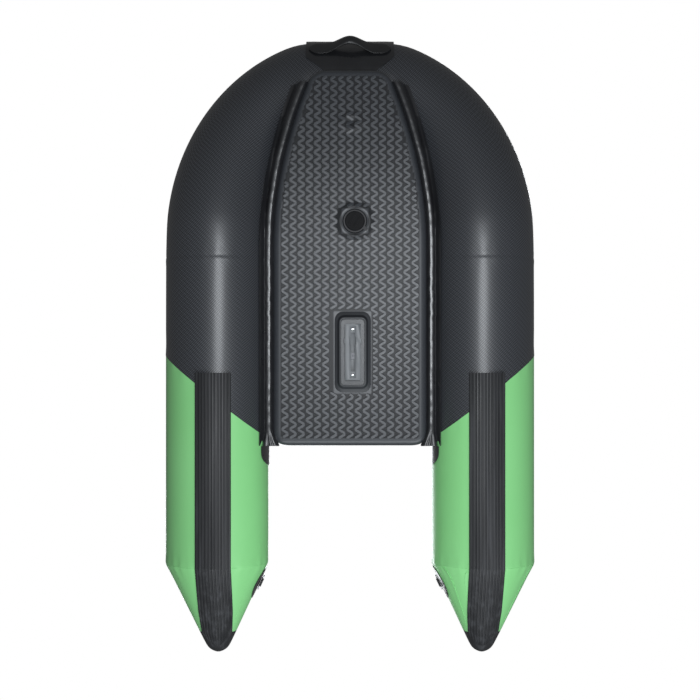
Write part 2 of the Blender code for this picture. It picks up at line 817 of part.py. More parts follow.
def floor_valve_seat():
    y = SHOULDER_Y + FLOOR_VALVE_AFT
    return Vector((FLOOR_VALVE_X, y, floor_lift(y) - GAP))


def tube_valve_seat(side):
    return Vector((side * TUBE_X, SHOULDER_Y + TUBE_VALVE_AFT, TUBE_Z + TUBE_RADIUS + GAP))


def valve_body(name, place):
    barrel = VALVE_BARREL_DIAMETER / 2
    bore = VALVE_BORE / 2
    seat = VALVE_SEAT_BORE / 2
    flange = VALVE_FLANGE_DIAMETER / 2
    profile = [
        (seat, -VALVE_DEPTH),
        (barrel, -VALVE_DEPTH),
        (barrel, 0),
        (flange, 0),
        (flange, VALVE_FLANGE * 0.6),
        (flange - 0.001, VALVE_FLANGE),
        (bore, VALVE_FLANGE),
        (bore, -VALVE_DEPTH + VALVE_SEAT_DEPTH + 0.002),
        (seat, -VALVE_DEPTH + VALVE_SEAT_DEPTH),
    ]
    body = turned(name, profile, "valve_plastic", place)
    half = VALVE_BRIDGE_WIDTH / 2
    bridge_low = -VALVE_BRIDGE_DROP - VALVE_BRIDGE_DEPTH
    bar_low = (-bore - 0.001, -half, bridge_low)
    bar_high = (bore + 0.001, half, -VALVE_BRIDGE_DROP)
    bar = block(f"{name}_bridge", bar_low, bar_high)
    bar.matrix_world = place
    hub_radius = VALVE_HUB_DIAMETER / 2
    hub_profile = [(hub_radius, bridge_low - 0.0002), (hub_radius, -VALVE_BRIDGE_DROP + 0.0002)]
    hub = turned(f"{name}_hub", hub_profile, place=place, sides=16, wrap=False)
    guide_radius = VALVE_ROD_DIAMETER / 2 + VALVE_ROD_CLEARANCE
    guide_profile = [(guide_radius, -VALVE_DEPTH), (guide_radius, 0.0)]
    guide = turned(f"{name}_guide", guide_profile, place=place, sides=16, wrap=False)
    cut(body, bar, "UNION")
    cut(body, hub, "UNION")
    cut(body, guide)
    return body


def valve_stem(name, place):
    seat_face = -VALVE_DEPTH - GAP
    disc = VALVE_SEAT_BORE / 2 + VALVE_DISC_LAP
    rod = VALVE_ROD_DIAMETER / 2
    button = VALVE_BUTTON_DIAMETER / 2
    button_top = -VALVE_BUTTON_DROP + VALVE_BUTTON_DEPTH
    profile = [
        (SMALL_BORE, seat_face - VALVE_DISC_DEPTH),
        (disc, seat_face - VALVE_DISC_DEPTH),
        (disc, seat_face),
        (rod, seat_face),
        (rod, -VALVE_BUTTON_DROP),
        (button, -VALVE_BUTTON_DROP),
        (button, button_top - 0.0008),
        (button - 0.0006, button_top),
        (SMALL_BORE, button_top),
    ]
    return turned(name, profile, "valve_seal", place, sides=16, wrap=False)


def valve_spring(name, place):
    """A coil round the stem, between the bridge and the button."""
    low = -VALVE_BRIDGE_DROP + 0.0002 + SPRING_END_GAP
    high = -VALVE_BUTTON_DROP - SPRING_END_GAP
    steps = 10 * SPRING_COILS
    rings = []
    for i in range(steps + 1):
        turn = 2 * math.pi * SPRING_COILS * i / steps
        centre = Vector(round_point(SPRING_RADIUS, turn, low + (high - low) * i / steps))
        out = Vector((math.cos(turn), math.sin(turn), 0))
        ring = []
        for roll in turns(4):
            around = out * math.cos(roll) + Vector((0, 0, math.sin(roll)))
            ring.append(centre + around * SPRING_WIRE / 2)
        rings.append(ring)
    return loft(name, rings, "steel", place)


def valve_nut(name, place, drop):
    inner = VALVE_BARREL_DIAMETER / 2 + GAP
    outer = inner + VALVE_NUT_WALL
    profile = [
        (inner, -drop - VALVE_NUT),
        (outer, -drop - VALVE_NUT),
        (outer, -drop),
        (inner, -drop),
    ]
    return turned(name, profile, "valve_plastic", place)


def valve_cap(name, place, grip_turn):
    top = VALVE_FLANGE + GAP
    rim = VALVE_CAP_DIAMETER / 2
    plug = VALVE_BORE / 2 - GAP
    profile = [
        (SMALL_BORE, top),
        (plug - CAP_SKIRT_WALL, top),
        (plug - CAP_SKIRT_WALL, -CAP_SKIRT_DEPTH),
        (plug, -CAP_SKIRT_DEPTH),
        (plug, top),
        (rim, top),
        (rim, top + CAP_THICKNESS - 0.0015),
        (rim - 0.0015, top + CAP_THICKNESS),
        (SMALL_BORE, top + CAP_THICKNESS),
    ]
    cap = turned(name, profile, "valve_plastic", place, wrap=False)
    for i, across in enumerate((-GRIP_SPACING / 2, GRIP_SPACING / 2)):
        low = (-GRIP_LENGTH / 2, across - GRIP_WIDTH / 2, top + CAP_THICKNESS - 0.001)
        high = (GRIP_LENGTH / 2, across + GRIP_WIDTH / 2, top + CAP_THICKNESS + GRIP_HEIGHT)
        turned_place = place @ Matrix.Rotation(grip_turn, 4, "Z")
        cut(cap, block(f"{name}_grip_{i}", low, high, place=turned_place), "UNION")
    return cap


def valve_tether(name, place, tab_turn):
    inner = VALVE_CAP_DIAMETER / 2 + 2 * GAP
    outer = inner + TETHER_WIDTH
    base = VALVE_FLANGE + GAP
    top = base + TETHER_THICKNESS
    profile = [(inner, base), (outer, base), (outer, top), (inner, top)]
    ring = turned(name, profile, "valve_seal", place)
    start = outer - TETHER_WIDTH / 2
    low = (start, -TETHER_TAB_WIDTH / 2, base)
    high = (start + TETHER_TAB_LENGTH, TETHER_TAB_WIDTH / 2, top)
    turned_place = place @ Matrix.Rotation(tab_turn, 4, "Z")
    return cut(ring, block(f"{name}_tab", low, high, place=turned_place), "UNION")


def tube_nut_drop():
    """How far below the flange a flat nut clears the tube's curved inside."""
    reach = VALVE_BARREL_DIAMETER / 2 + GAP + VALVE_NUT_WALL
    inside = TUBE_RADIUS - FABRIC
    facet = inside * (1 - math.cos(math.pi / TUBE_SIDES))
    return FABRIC + inside - math.sqrt(inside**2 - reach**2) + facet + 4 * GAP


def build_valve(word, place, nut_drop, grip_turn, tab_turn):
    valve_body(f"{word}_valve_body", place)
    valve_stem(f"{word}_valve_stem", place)
    valve_spring(f"{word}_valve_spring", place)
    valve_nut(f"{word}_valve_nut", place, nut_drop)
    valve_cap(f"{word}_valve_cap", place, grip_turn)
    valve_tether(f"{word}_valve_tether", place, tab_turn)


def build_valves():
    facing_down = Matrix.Rotation(math.pi, 4, "X")
    build_valve(
        "floor",
        Matrix.Translation(floor_valve_seat()) @ facing_down,
        FLOOR_SKIN + 3 * GAP,
        math.radians(60),
        math.radians(-35),
    )
    for word, side in SIDES.items():
        place = Matrix.Translation(tube_valve_seat(side))
        build_valve(word, place, tube_nut_drop(), math.radians(90), math.radians(90))


# Fin box, built on the floor's underside with z = 0 there and the outside below


def fin_place():
    y = SHOULDER_Y + FIN_BOX_AFT
    return Matrix.Translation((FIN_BOX_X, y, floor_lift(y) - LAY_GAP))


def rounded_rectangle(half_x, half_y, radius, z, steps=4):
    ring = []
    for quarter, (sx, sy) in enumerate(((1, 1), (-1, 1), (-1, -1), (1, -1))):
        for step in range(steps + 1):
            turn = math.pi / 2 * (quarter + step / steps)
            x = sx * (half_x - radius) + radius * math.cos(turn)
            y = sy * (half_y - radius) + radius * math.sin(turn)
            ring.append((x, y, z))
    return ring


def build_fin_base():
    wide = FIN_BASE_WIDTH / 2
    long = FIN_BASE_LENGTH / 2
    inner_wide = FIN_RECESS_WIDTH / 2
    inner_long = FIN_RECESS_LENGTH / 2
    rings = [
        rounded_rectangle(wide, long, FIN_BASE_CORNER, 0),
        rounded_rectangle(wide, long, FIN_BASE_CORNER, -FIN_BASE_HEM),
        rounded_rectangle(wide - 0.008, long - 0.010, FIN_BASE_CORNER - 0.004, -0.003),
        rounded_rectangle(inner_wide + 0.005, inner_long + 0.005, 0.014, -FIN_BASE_RIM),
        rounded_rectangle(inner_wide, inner_long, FIN_RECESS_CORNER, -FIN_BASE_RIM),
        rounded_rectangle(inner_wide, inner_long, FIN_RECESS_CORNER, 0),
    ]
    loft("fin_base", rings, "smooth_pvc", fin_place(), wrap=True)


def fin_block(name, half_x, half_y, low, high, y=0.0):
    return block(name, (-half_x, y - half_y, low), (half_x, y + half_y, high), place=fin_place())


def build_fin_housing():
    face = -FIN_HOUSING_HEIGHT
    long = FIN_HOUSING_LENGTH / 2
    notch_half = FIN_NOTCH_LENGTH / 2
    slot_half = FIN_SLOT_LENGTH / 2
    track_roof = face + FIN_LIP + FIN_TRACK_HEIGHT
    housing = fin_block("fin_housing", FIN_HOUSING_WIDTH / 2, long, face, 0)
    housing.data.materials.append(finish("fin_plastic"))
    tabs = fin_block("fin_tabs", FIN_TAB_WIDTH / 2, notch_half, face, face + FIN_LIP, FIN_NOTCH_OFFSET)
    cut(housing, tabs, "UNION")
    past = face - CUT_PAST
    groove_end = long - FIN_END_WALL
    cuts = [
        fin_block("fin_groove", FIN_GROOVE_WIDTH / 2, groove_end, past, face + FIN_GROOVE_DEPTH),
        fin_block("fin_slot", FIN_SLOT_WIDTH / 2, slot_half, past, track_roof - 0.004),
        fin_block("fin_track", FIN_TRACK_WIDTH / 2, slot_half, face + FIN_LIP, track_roof),
    ]
    notch_half += 0.003
    notch_top = face + FIN_LIP + 0.002
    notch = (FIN_TRACK_WIDTH / 2, notch_half, past, notch_top, FIN_NOTCH_OFFSET)
    cuts.append(fin_block("fin_notch", *notch))
    radius = FIN_SCREW_SHANK / 2 + GAP
    for i, end in enumerate((-1, 1)):
        place = fin_place() @ Matrix.Translation((0, end * FIN_SCREW_SPACING / 2, 0))
        profile = [(radius, past), (radius, FIN_GROOVE_DEPTH + GAP - FIN_LIP + 0.0002)]
        cuts.append(turned(f"fin_screw_hole_{i}", profile, place=place, sides=16, wrap=False))
    for tool in cuts:
        cut(housing, tool)


def build_fin_screws():
    seat = -FIN_HOUSING_HEIGHT + FIN_GROOVE_DEPTH - GAP
    tip = seat + FIN_SCREW_LENGTH - FIN_GROOVE_DEPTH + 2 * GAP
    head = FIN_SCREW_HEAD / 2
    shank = FIN_SCREW_SHANK / 2
    for word, end in (("front", -1), ("rear", 1)):
        profile = [
            (SMALL_BORE, tip),
            (shank, tip),
            (shank, seat),
            (head, seat),
            (head, seat - 0.0014),
            (head * 0.7, seat - FIN_SCREW_DOME + 0.0004),
            (SMALL_BORE, seat - FIN_SCREW_DOME),
        ]
        place = fin_place() @ Matrix.Translation((0, end * FIN_SCREW_SPACING / 2, 0))
        screw = turned(f"{word}_fin_screw", profile, "steel", place, sides=16, wrap=False)
        low = (-head * 0.7, -0.0005, seat - FIN_SCREW_DOME - 0.001)
        high = (head * 0.7, 0.0005, seat - 0.0016)
        cut(screw, block(f"{word}_screw_drive", low, high, place=place))


def build_nut_plate():
    """The square plate that slides in the track and takes a fin's screw."""
    low = -FIN_HOUSING_HEIGHT + FIN_LIP + GAP
    half = NUT_PLATE / 2
    place = fin_place() @ Matrix.Translation((0, NUT_PLATE_REST, 0))
    corner = (half, half, low + NUT_PLATE_THICKNESS)
    plate = block("fin_nut_plate", (-half, -half, low), corner, "steel", place)
    bore = NUT_PLATE_BORE / 2
    profile = [(bore, low - CUT_PAST), (bore, low + CUT_PAST)]
    cut(plate, turned("nut_plate_hole", profile, place=place, sides=16, wrap=False))


# Tie rings, built with the surface's outward direction as +Z, the hinge along X, hanging to -Y


def ring_bar_height():
    return LAY_GAP + RING_PATCH_THICKNESS + RING_WIRE / 2 + 2 * GAP


def ring_path():
    """A D in the XY plane: its straight bar on X, its bow towards -Y."""
    half = RING_WIDTH / 2 - RING_WIRE / 2
    corner = 0.007
    path = [Vector((-half + corner, 0, 0)), Vector((half - corner, 0, 0))]
    for step in (1, 2, 3):
        turn = math.pi / 2 * (1 - step / 3)
        path.append(
            Vector((half - corner + corner * math.cos(turn), -corner + corner * math.sin(turn), 0))
        )
    depth = RING_DEPTH - RING_WIRE - corner
    for step in range(1, 12):
        turn = -math.pi * step / 12
        path.append(Vector((half * math.cos(turn), -corner + depth * math.sin(turn), 0)))
    for step in (0, 1, 2):
        turn = math.pi / 2 * (1 + (3 - step) / 3)
        path.append(
            Vector((-half + corner + corner * math.cos(turn), -corner + corner * math.sin(turn), 0))
        )
    return path


def webbing_outline():
    """(y, z) of a strap that arches over the bar, with a foot welded each side."""
    height = ring_bar_height()
    inner = RING_WIRE / 2 + 2 * GAP
    outer = inner + RING_WEBBING_THICKNESS
    foot = LAY_GAP + RING_PATCH_THICKNESS + GAP
    arc = [math.pi * i / 8 for i in range(9)]
    outline = [(outer + RING_FOOT, foot)]
    outline.append((outer + RING_FOOT, foot + RING_WEBBING_THICKNESS))
    outline.append((outer, foot + RING_WEBBING_THICKNESS))
    outline += [(outer * math.cos(turn), height + outer * math.sin(turn)) for turn in arc]
    outline.append((-outer, foot + RING_WEBBING_THICKNESS))
    outline.append((-outer - RING_FOOT, foot + RING_WEBBING_THICKNESS))
    outline.append((-outer - RING_FOOT, foot))
    outline.append((-inner, foot))
    outline += [(inner * math.cos(turn), height + inner * math.sin(turn)) for turn in arc[::-1]]
    outline.append((inner, foot))
    return outline


def build_tie_ring(word, side, aft, turn, hinge, out):
    """A patch, its strap and the swinging D ring, where a station's turn meets the surface."""
    spot = tube_spot(side, aft, turn)
    radius = RING_PATCH_DIAMETER / 2
    laid_patch(f"{word}_ring_patch", spot, radius, RING_PATCH_THICKNESS, "smooth_pvc")
    origin = aft_station(aft).point(side, turn)
    across = out.cross(hinge)
    frame = Matrix((hinge, across, out)).transposed().to_4x4()
    place = Matrix.Translation(origin) @ frame
    half = RING_WEBBING / 2
    extruded(f"{word}_ring_strap", webbing_outline(), -half, half, "webbing", place)
    axis = place @ Matrix.Translation((0, 0, ring_bar_height()))
    swept_loop(f"{word}_d_ring", ring_path(), RING_WIRE, "steel", axis)


def build_tie_rings():
    slope = cone_half_angle()
    ring_aft = PONTOON_LENGTH + CONE_RING_PAST_SEAM
    for word, side in SIDES.items():
        inward = Vector((-side * math.cos(slope), math.sin(slope), 0))
        hinge = Vector((0, 0, 1)).cross(inward) * -1
        build_tie_ring(f"{word}_cone", side, ring_aft, math.pi, hinge, inward)
        along = Vector((0, -side, 0))
        build_tie_ring(
            f"{word}_deck", side, DECK_RING_AFT, math.pi / 2, along, Vector((0, 0, 1))
        )


def build_boat():
    clear_scene()
    build_bow_tubes()
    build_pontoons()
    build_cones()
    build_strakes()
    build_floor()
    build_drop_stitch()
    build_flaps()
    build_corner_patches()
    build_bow_panel()
    build_bow_handle()
    build_valves()
    build_fin_base()
    build_fin_housing()
    build_fin_screws()
    build_nut_plate()
    build_tie_rings()


build_boat()
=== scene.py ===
import json
import math

import bmesh
import bpy
from mathutils import Matrix, Vector
from mathutils.bvhtree import BVHTree


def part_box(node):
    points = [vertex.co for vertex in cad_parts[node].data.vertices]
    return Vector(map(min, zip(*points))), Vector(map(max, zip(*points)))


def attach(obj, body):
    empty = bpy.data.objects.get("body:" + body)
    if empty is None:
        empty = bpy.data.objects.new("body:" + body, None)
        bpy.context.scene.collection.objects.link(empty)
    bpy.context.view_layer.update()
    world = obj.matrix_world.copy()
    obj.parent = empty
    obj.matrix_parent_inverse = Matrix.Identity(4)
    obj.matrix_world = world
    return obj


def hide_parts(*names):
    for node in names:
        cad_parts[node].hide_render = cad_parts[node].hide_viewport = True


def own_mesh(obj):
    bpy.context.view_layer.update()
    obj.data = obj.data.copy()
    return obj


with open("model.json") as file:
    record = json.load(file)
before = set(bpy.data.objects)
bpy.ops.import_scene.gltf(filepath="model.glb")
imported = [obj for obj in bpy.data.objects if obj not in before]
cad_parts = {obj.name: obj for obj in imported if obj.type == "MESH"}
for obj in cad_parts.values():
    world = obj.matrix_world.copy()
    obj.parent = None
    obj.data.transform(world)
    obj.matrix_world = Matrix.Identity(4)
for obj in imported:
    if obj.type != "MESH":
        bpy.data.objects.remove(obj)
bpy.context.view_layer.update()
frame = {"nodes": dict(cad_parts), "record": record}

# Sizes that the looks add to the frame, in metres
SIDES = {"left": -1, "right": 1}
SKIN = 0.0010
RIM = 0.0016
TUBE_FACETS = 24
BOW_LENGTH = 0.6036
WELD_AFT = 0.062
WELD_STEP = 0.0007
SEAM_DEPTH = 0.0006
VALVE_HOLE = 0.0235
STRAKE_END = 0.062
TREAD_ROW = 0.0134
TREAD_PITCH = 0.0236
TREAD_LENGTH = 0.0268
TREAD_WIDTH = 0.0094
TREAD_RISE = 0.0019
TREAD_SLANT = math.atan2(TREAD_ROW, TREAD_PITCH)
TREAD_BORDER = 0.009
TREAD_CLEAR = 0.005
TREAD_STUB = 0.04
FLOOR_VOXEL = 0.0048
FLOOR_FLAT = 0.93
FLOOR_DENT = (0.004, 0.155)
FIN_BLOCK_HALF = (0.0262, 0.0870)
FLAP_UNDER_FLOOR = 0.012
BEAD_RADIUS = 0.009
BEAD_INSET = 0.006
BEAD_STEPS = 8
TAPE_STEP = 0.006
TAPE_FLARE = 0.050
SEAM_LOOPS = (0.003, 0.006, 0.010, 0.015, 0.021, 0.028, 0.037, 0.048, 0.062, 0.080, 0.10, 0.13)
WELD_LOOP_STEP = 0.004
WRINKLE_LOOP_STEP = 0.025
STAGE_SIZE = 14
STAGE_DROP = 0.002
CAMERA_DROP = 4.3
CAMERA_LENS = 77.8
CAMERA_AFT = 0.333

# Angles, in radians
SHADE_ANGLE = math.radians(38)
CREASE_ANGLE = math.radians(60)

RIGHT_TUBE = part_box("right_pontoon_tube")
TUBE_RADIUS = (RIGHT_TUBE[1].x - RIGHT_TUBE[0].x) / 2
INNER_WALL_REACH = 2.1 * TUBE_RADIUS
TUBE_X = (RIGHT_TUBE[1].x + RIGHT_TUBE[0].x) / 2
TUBE_Z = (RIGHT_TUBE[1].z + RIGHT_TUBE[0].z) / 2
SEAM_Y = RIGHT_TUBE[1].y
JOINT_OUTER_Y = RIGHT_TUBE[0].y
JOINT_SLOPE = (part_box("right_bow_tube")[1].y - JOINT_OUTER_Y) / (2 * TUBE_RADIUS)
FRONT_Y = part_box("right_bow_tube")[0].y
SHOULDER_Y = FRONT_Y + BOW_LENGTH
WELD_Y = SHOULDER_Y + WELD_AFT
FLOOR_LOW, FLOOR_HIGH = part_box("floor_panel")
FLOOR_MIDDLE_Z = (FLOOR_LOW.z + FLOOR_HIGH.z) / 2
FLOOR_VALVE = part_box("floor_valve_body")
FLOOR_VALVE_MIDDLE = (FLOOR_VALVE[0] + FLOOR_VALVE[1]) / 2
BODY_OF = {
    node: body for body, nodes in frame["record"]["behaviour"]["bodies"].items() for node in nodes
}


# Selecting and editing


def select_only(piece):
    bpy.ops.object.select_all(action="DESELECT")
    piece.select_set(True)
    bpy.context.view_layer.objects.active = piece


def start_editing(piece, mode="VERT"):
    select_only(piece)
    bpy.ops.object.mode_set(mode="EDIT")
    bpy.ops.mesh.select_mode(type=mode)
    bpy.ops.mesh.select_all(action="SELECT")


def stop_editing():
    bpy.ops.object.mode_set(mode="OBJECT")


def middle_of(node):
    low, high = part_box(node)
    return (low + high) / 2


def new_piece(name, points, faces):
    mesh = bpy.data.meshes.new(name)
    mesh.from_pydata(points, [], faces)
    piece = bpy.data.objects.new(name, mesh)
    bpy.context.scene.collection.objects.link(piece)
    return piece


def add_modifier(piece, kind, **settings):
    """Adds a modifier with these settings and applies it."""
    modifier = piece.modifiers.new(kind.lower(), kind)
    for name, value in settings.items():
        setattr(modifier, name, value)
    select_only(piece)
    bpy.ops.object.modifier_apply(modifier=modifier.name)


def copy_of(node, name):
    """The CAD node's shape as a new, merged, four-sided mesh."""
    piece = bpy.data.objects.new(name, frame["nodes"][node].data.copy())
    bpy.context.scene.collection.objects.link(piece)
    start_editing(piece)
    bpy.ops.mesh.remove_doubles(threshold=0.00001)
    bpy.ops.mesh.tris_convert_to_quads(face_threshold=0.7, shape_threshold=0.7)
    stop_editing()
    bpy.ops.mesh.customdata_custom_splitnormals_clear()
    return piece


def keep_outside(piece, reach, rim_width=0.0):
    """Deletes a hollow shell's inner wall, whose faces see a wall within reach, and its rims."""
    shape = bmesh.new()
    shape.from_mesh(piece.data)
    shape.normal_update()
    tree = BVHTree.FromBMesh(shape)
    inner = []
    for face in shape.faces:
        centre = face.calc_center_median()
        starts = [centre, centre.lerp(face.verts[0].co, 0.6), centre.lerp(face.verts[-1].co, 0.6)]
        starts = [start + face.normal * 0.002 for start in starts]
        if any(tree.ray_cast(start, face.normal, reach)[0] is not None for start in starts):
            inner.append(face)
    bmesh.ops.delete(shape, geom=inner, context="FACES")
    rims = [
        face for face in shape.faces if min(edge.calc_length() for edge in face.edges) < rim_width
    ]
    bmesh.ops.delete(shape, geom=rims, context="FACES")
    shape.to_mesh(piece.data)
    shape.free()


def crease_sharp(piece, angle):
    """Holds edges sharper than an angle through a subdivision."""
    shape = bmesh.new()
    shape.from_mesh(piece.data)
    layers = shape.edges.layers.float
    layer = layers.get("crease_edge") or layers.new("crease_edge")
    for edge in shape.edges:
        if len(edge.link_faces) != 2 or edge.calc_face_angle(0) > angle:
            edge[layer] = 1.0
    shape.to_mesh(piece.data)
    shape.free()


def subdivide_smooth(piece, levels):
    add_modifier(piece, "SUBSURF", levels=levels, render_levels=levels)


def cut_loops(piece, point, normal, distances):
    """Extra loops of points across a piece, at distances along a direction."""
    start_editing(piece)
    for distance in distances:
        bpy.ops.mesh.select_all(action="SELECT")
        place = Vector(point) + Vector(normal).normalized() * distance
        bpy.ops.mesh.bisect(plane_co=place, plane_no=normal)
    stop_editing()


def shift(piece, amount):
    """Moves each point along its normal by amount(point)."""
    moves = [(vertex, vertex.normal * amount(vertex.co)) for vertex in piece.data.vertices]
    for vertex, move in moves:
        vertex.co += move
    piece.data.update()


def smooth_shade(piece, angle=SHADE_ANGLE):
    select_only(piece)
    bpy.ops.object.shade_smooth_by_angle(angle=angle)


def hump(distance, reach):
    """1 at a line, fading to nothing over about twice its reach."""
    return math.exp(-((distance / reach) ** 2))


def uneven(value):
    """A smooth, irregular wave between -1 and 1."""
    return 0.5 * math.sin(value) + 0.3 * math.sin(2.3 * value + 1.1) + 0.2 * math.sin(4.1 * value)


def drill(piece, centre, radius, depth):
    """Cuts a round upright hole."""
    bpy.ops.object.select_all(action="DESELECT")
    bpy.ops.mesh.primitive_cylinder_add(vertices=48, radius=radius, depth=depth, location=centre)
    tool = bpy.context.object
    add_modifier(piece, "BOOLEAN", operation="DIFFERENCE", object=tool, solver="EXACT")
    bpy.data.objects.remove(tool)


# Patterns for the finishes


class Finish:
    """A Principled material and short calls that add nodes to it."""

    def __init__(self, name, roughness, metallic=0.0, coat=0.0, coat_roughness=0.2, specular=0.5):
        self.material = bpy.data.materials.new(name)
        self.material.use_nodes = True
        self.tree = self.material.node_tree
        self.shader = self.tree.nodes["Principled BSDF"]
        self.shader.inputs["Roughness"].default_value = roughness
        self.shader.inputs["Metallic"].default_value = metallic
        self.shader.inputs["Coat Weight"].default_value = coat
        self.shader.inputs["Coat Roughness"].default_value = coat_roughness
        self.shader.inputs["Specular IOR Level"].default_value = specular
        coordinates = self.tree.nodes.new("ShaderNodeTexCoord")
        self.point = coordinates.outputs["Object"]
        self.facing = coordinates.outputs["Normal"]

    def _feed(self, socket, value):
        if isinstance(value, bpy.types.NodeSocket):
            self.tree.links.new(value, socket)
        else:
            socket.default_value = value

    def math(self, operation, first, second=0.0):
        node = self.tree.nodes.new("ShaderNodeMath")
        node.operation = operation
        self._feed(node.inputs[0], first)
        self._feed(node.inputs[1], second)
        return node.outputs[0]

    def vector(self, operation, first, second, output="Vector"):
        node = self.tree.nodes.new("ShaderNodeVectorMath")
        node.operation = operation
        self._feed(node.inputs[0], first)
        self._feed(node.inputs[1], second)
        return node.outputs[output]

    def wave(self, direction, pitch):
        """A wave along a direction of the object, from 0 to 1."""
        turns = Vector(direction).normalized() * (2 * math.pi / pitch)
        along = self.vector("DOT_PRODUCT", self.point, turns, "Value")
        swing = self.math("SINE", along)
        return self.math("ADD", self.math("MULTIPLY", swing, 0.5), 0.5)

    def wrapped(self, pattern):
        """A flat pattern laid on all three box directions, mixed by how the surface faces."""
        x, y, z = Vector((1, 0, 0)), Vector((0, 1, 0)), Vector((0, 0, 1))
        squares = self.vector("MULTIPLY", self.facing, self.facing)
        parts = self.tree.nodes.new("ShaderNodeCombineXYZ")
        self._feed(parts.inputs[0], pattern(y, z))
        self._feed(parts.inputs[1], pattern(x, z))
        self._feed(parts.inputs[2], pattern(x, y))
        return self.vector("DOT_PRODUCT", squares, parts.outputs[0], "Value")

    def noise(self, scale, detail=3.0, stretch=(1, 1, 1)):
        mapping = self.tree.nodes.new("ShaderNodeMapping")
        mapping.inputs["Scale"].default_value = stretch
        self._feed(mapping.inputs["Vector"], self.point)
        node = self.tree.nodes.new("ShaderNodeTexNoise")
        node.inputs["Scale"].default_value = scale
        node.inputs["Detail"].default_value = detail
        self._feed(node.inputs["Vector"], mapping.outputs[0])
        return node.outputs["Fac"]

    def attribute(self, name):
        """A number that the mesh carries at each point."""
        node = self.tree.nodes.new("ShaderNodeAttribute")
        node.attribute_name = name
        return node.outputs["Fac"]

    def between(self, share, low, high, start=0.0, end=1.0):
        """A number that runs from low to high as share runs from start to end."""
        node = self.tree.nodes.new("ShaderNodeMapRange")
        self._feed(node.inputs["Value"], share)
        ends = {"From Min": start, "From Max": end, "To Min": low, "To Max": high}
        for name, value in ends.items():
            node.inputs[name].default_value = value
        return node.outputs[0]

    def mix(self, share, first, second):
        node = self.tree.nodes.new("ShaderNodeMix")
        node.data_type = "RGBA"
        self._feed(node.inputs[0], share)
        for socket, colour in ((node.inputs[6], first), (node.inputs[7], second)):
            self._feed(socket, colour if isinstance(colour, bpy.types.NodeSocket) else (*colour, 1))
        return node.outputs[2]

    def colour(self, value):
        self._feed(self.shader.inputs["Base Color"], value)

    def roughness(self, value):
        self._feed(self.shader.inputs["Roughness"], value)

    def raise_by(self, height, distance, strength=1.0):
        """Adds a bump of a real height on top of any before it."""
        node = self.tree.nodes.new("ShaderNodeBump")
        node.inputs["Strength"].default_value = strength
        node.inputs["Distance"].default_value = distance
        self._feed(node.inputs["Height"], height)
        socket = self.shader.inputs["Normal"]
        if socket.links:
            self._feed(node.inputs["Normal"], socket.links[0].from_socket)
        self._feed(socket, node.outputs[0])


def carbon_pvc():
    """Glossy black coated fabric printed with a fine slanting carbon weave."""
    finish = Finish("carbon_pvc", 0.42, coat=0.3, coat_roughness=0.24)

    def twill(across, along):
        slant = finish.wave(across + along, 0.0052)
        cross = finish.wave(across - along, 0.0104)
        return finish.math("MULTIPLY", slant, finish.between(cross, 0.55, 1.0))

    weave = finish.wrapped(twill)
    cloud = finish.noise(7.0)
    dark = finish.mix(cloud, (0.004, 0.0042, 0.005), (0.007, 0.0073, 0.0085))
    finish.colour(finish.mix(weave, dark, (0.085, 0.092, 0.106)))
    finish.roughness(finish.between(weave, 0.50, 0.34))
    finish.raise_by(weave, 0.00022, 0.8)
    finish.raise_by(finish.noise(28.0), 0.0009, 0.25)
    return finish.material


def scrim(finish, pitch, distance):
    """The base cloth's threads, showing faintly through a coating."""

    def threads(across, along):
        return finish.math("MULTIPLY", finish.wave(across, pitch), finish.wave(along, pitch))

    finish.raise_by(finish.wrapped(threads), distance, 0.5)


def green_pvc():
    finish = Finish("green_pvc", 0.42, coat=0.08, coat_roughness=0.4)
    cloud = finish.noise(5.0)
    finish.colour(finish.mix(cloud, (0.235, 0.640, 0.232), (0.275, 0.700, 0.275)))
    finish.roughness(finish.between(finish.noise(60.0), 0.32, 0.46))
    scrim(finish, 0.0022, 0.00006)
    finish.raise_by(finish.noise(18.0), 0.0012, 0.18)
    return finish.material


def smooth_pvc():
    finish = Finish("smooth_pvc", 0.3, coat=0.35, coat_roughness=0.18)
    cloud = finish.noise(14.0)
    finish.colour(finish.mix(cloud, (0.012, 0.0125, 0.014), (0.022, 0.023, 0.026)))
    finish.roughness(finish.between(finish.noise(45.0), 0.22, 0.4))
    scrim(finish, 0.0016, 0.00004)
    finish.raise_by(finish.noise(34.0), 0.0010, 0.3)
    return finish.material


def floor_pvc():
    """Dark grey embossed sheet: fine grain, lighter where the embossing is rubbed, and painted
    shade that darkens the skin between the tread's bars.
    """
    finish = Finish("floor_pvc", 0.4, coat=0.2, coat_roughness=0.3)
    grain = finish.noise(420.0, 2.0)
    cloud = finish.noise(6.0)
    base = finish.mix(cloud, (0.024, 0.027, 0.032), (0.038, 0.042, 0.049))
    rubbed = finish.mix(finish.between(grain, 0.0, 0.35, 0.4, 0.7), base, (0.062, 0.068, 0.078))
    # Painted shade: the skin marked as groove, between the tread's bars, is painted near black.
    finish.colour(finish.mix(finish.attribute("groove"), rubbed, (0.005, 0.006, 0.008)))
    dull = finish.math("MULTIPLY", finish.attribute("groove"), 0.35)
    finish.roughness(finish.math("ADD", finish.between(grain, 0.34, 0.5, 0.3, 0.7), dull))
    finish.raise_by(grain, 0.00015, 0.5)
    return finish.material


def strake_rubber():
    """Ribbed wear strip, scuffed in long streaks."""
    finish = Finish("strake_rubber", 0.5)
    streak = finish.noise(60.0, 4.0, (1, 0.05, 1))
    scuff = finish.between(streak, 0.0, 1.0, 0.52, 0.75)
    finish.colour(finish.mix(scuff, (0.016, 0.017, 0.019), (0.045, 0.047, 0.052)))
    finish.roughness(finish.between(streak, 0.36, 0.6, 0.3, 0.7))
    finish.raise_by(finish.noise(500.0, 2.0), 0.0001, 0.5)
    return finish.material


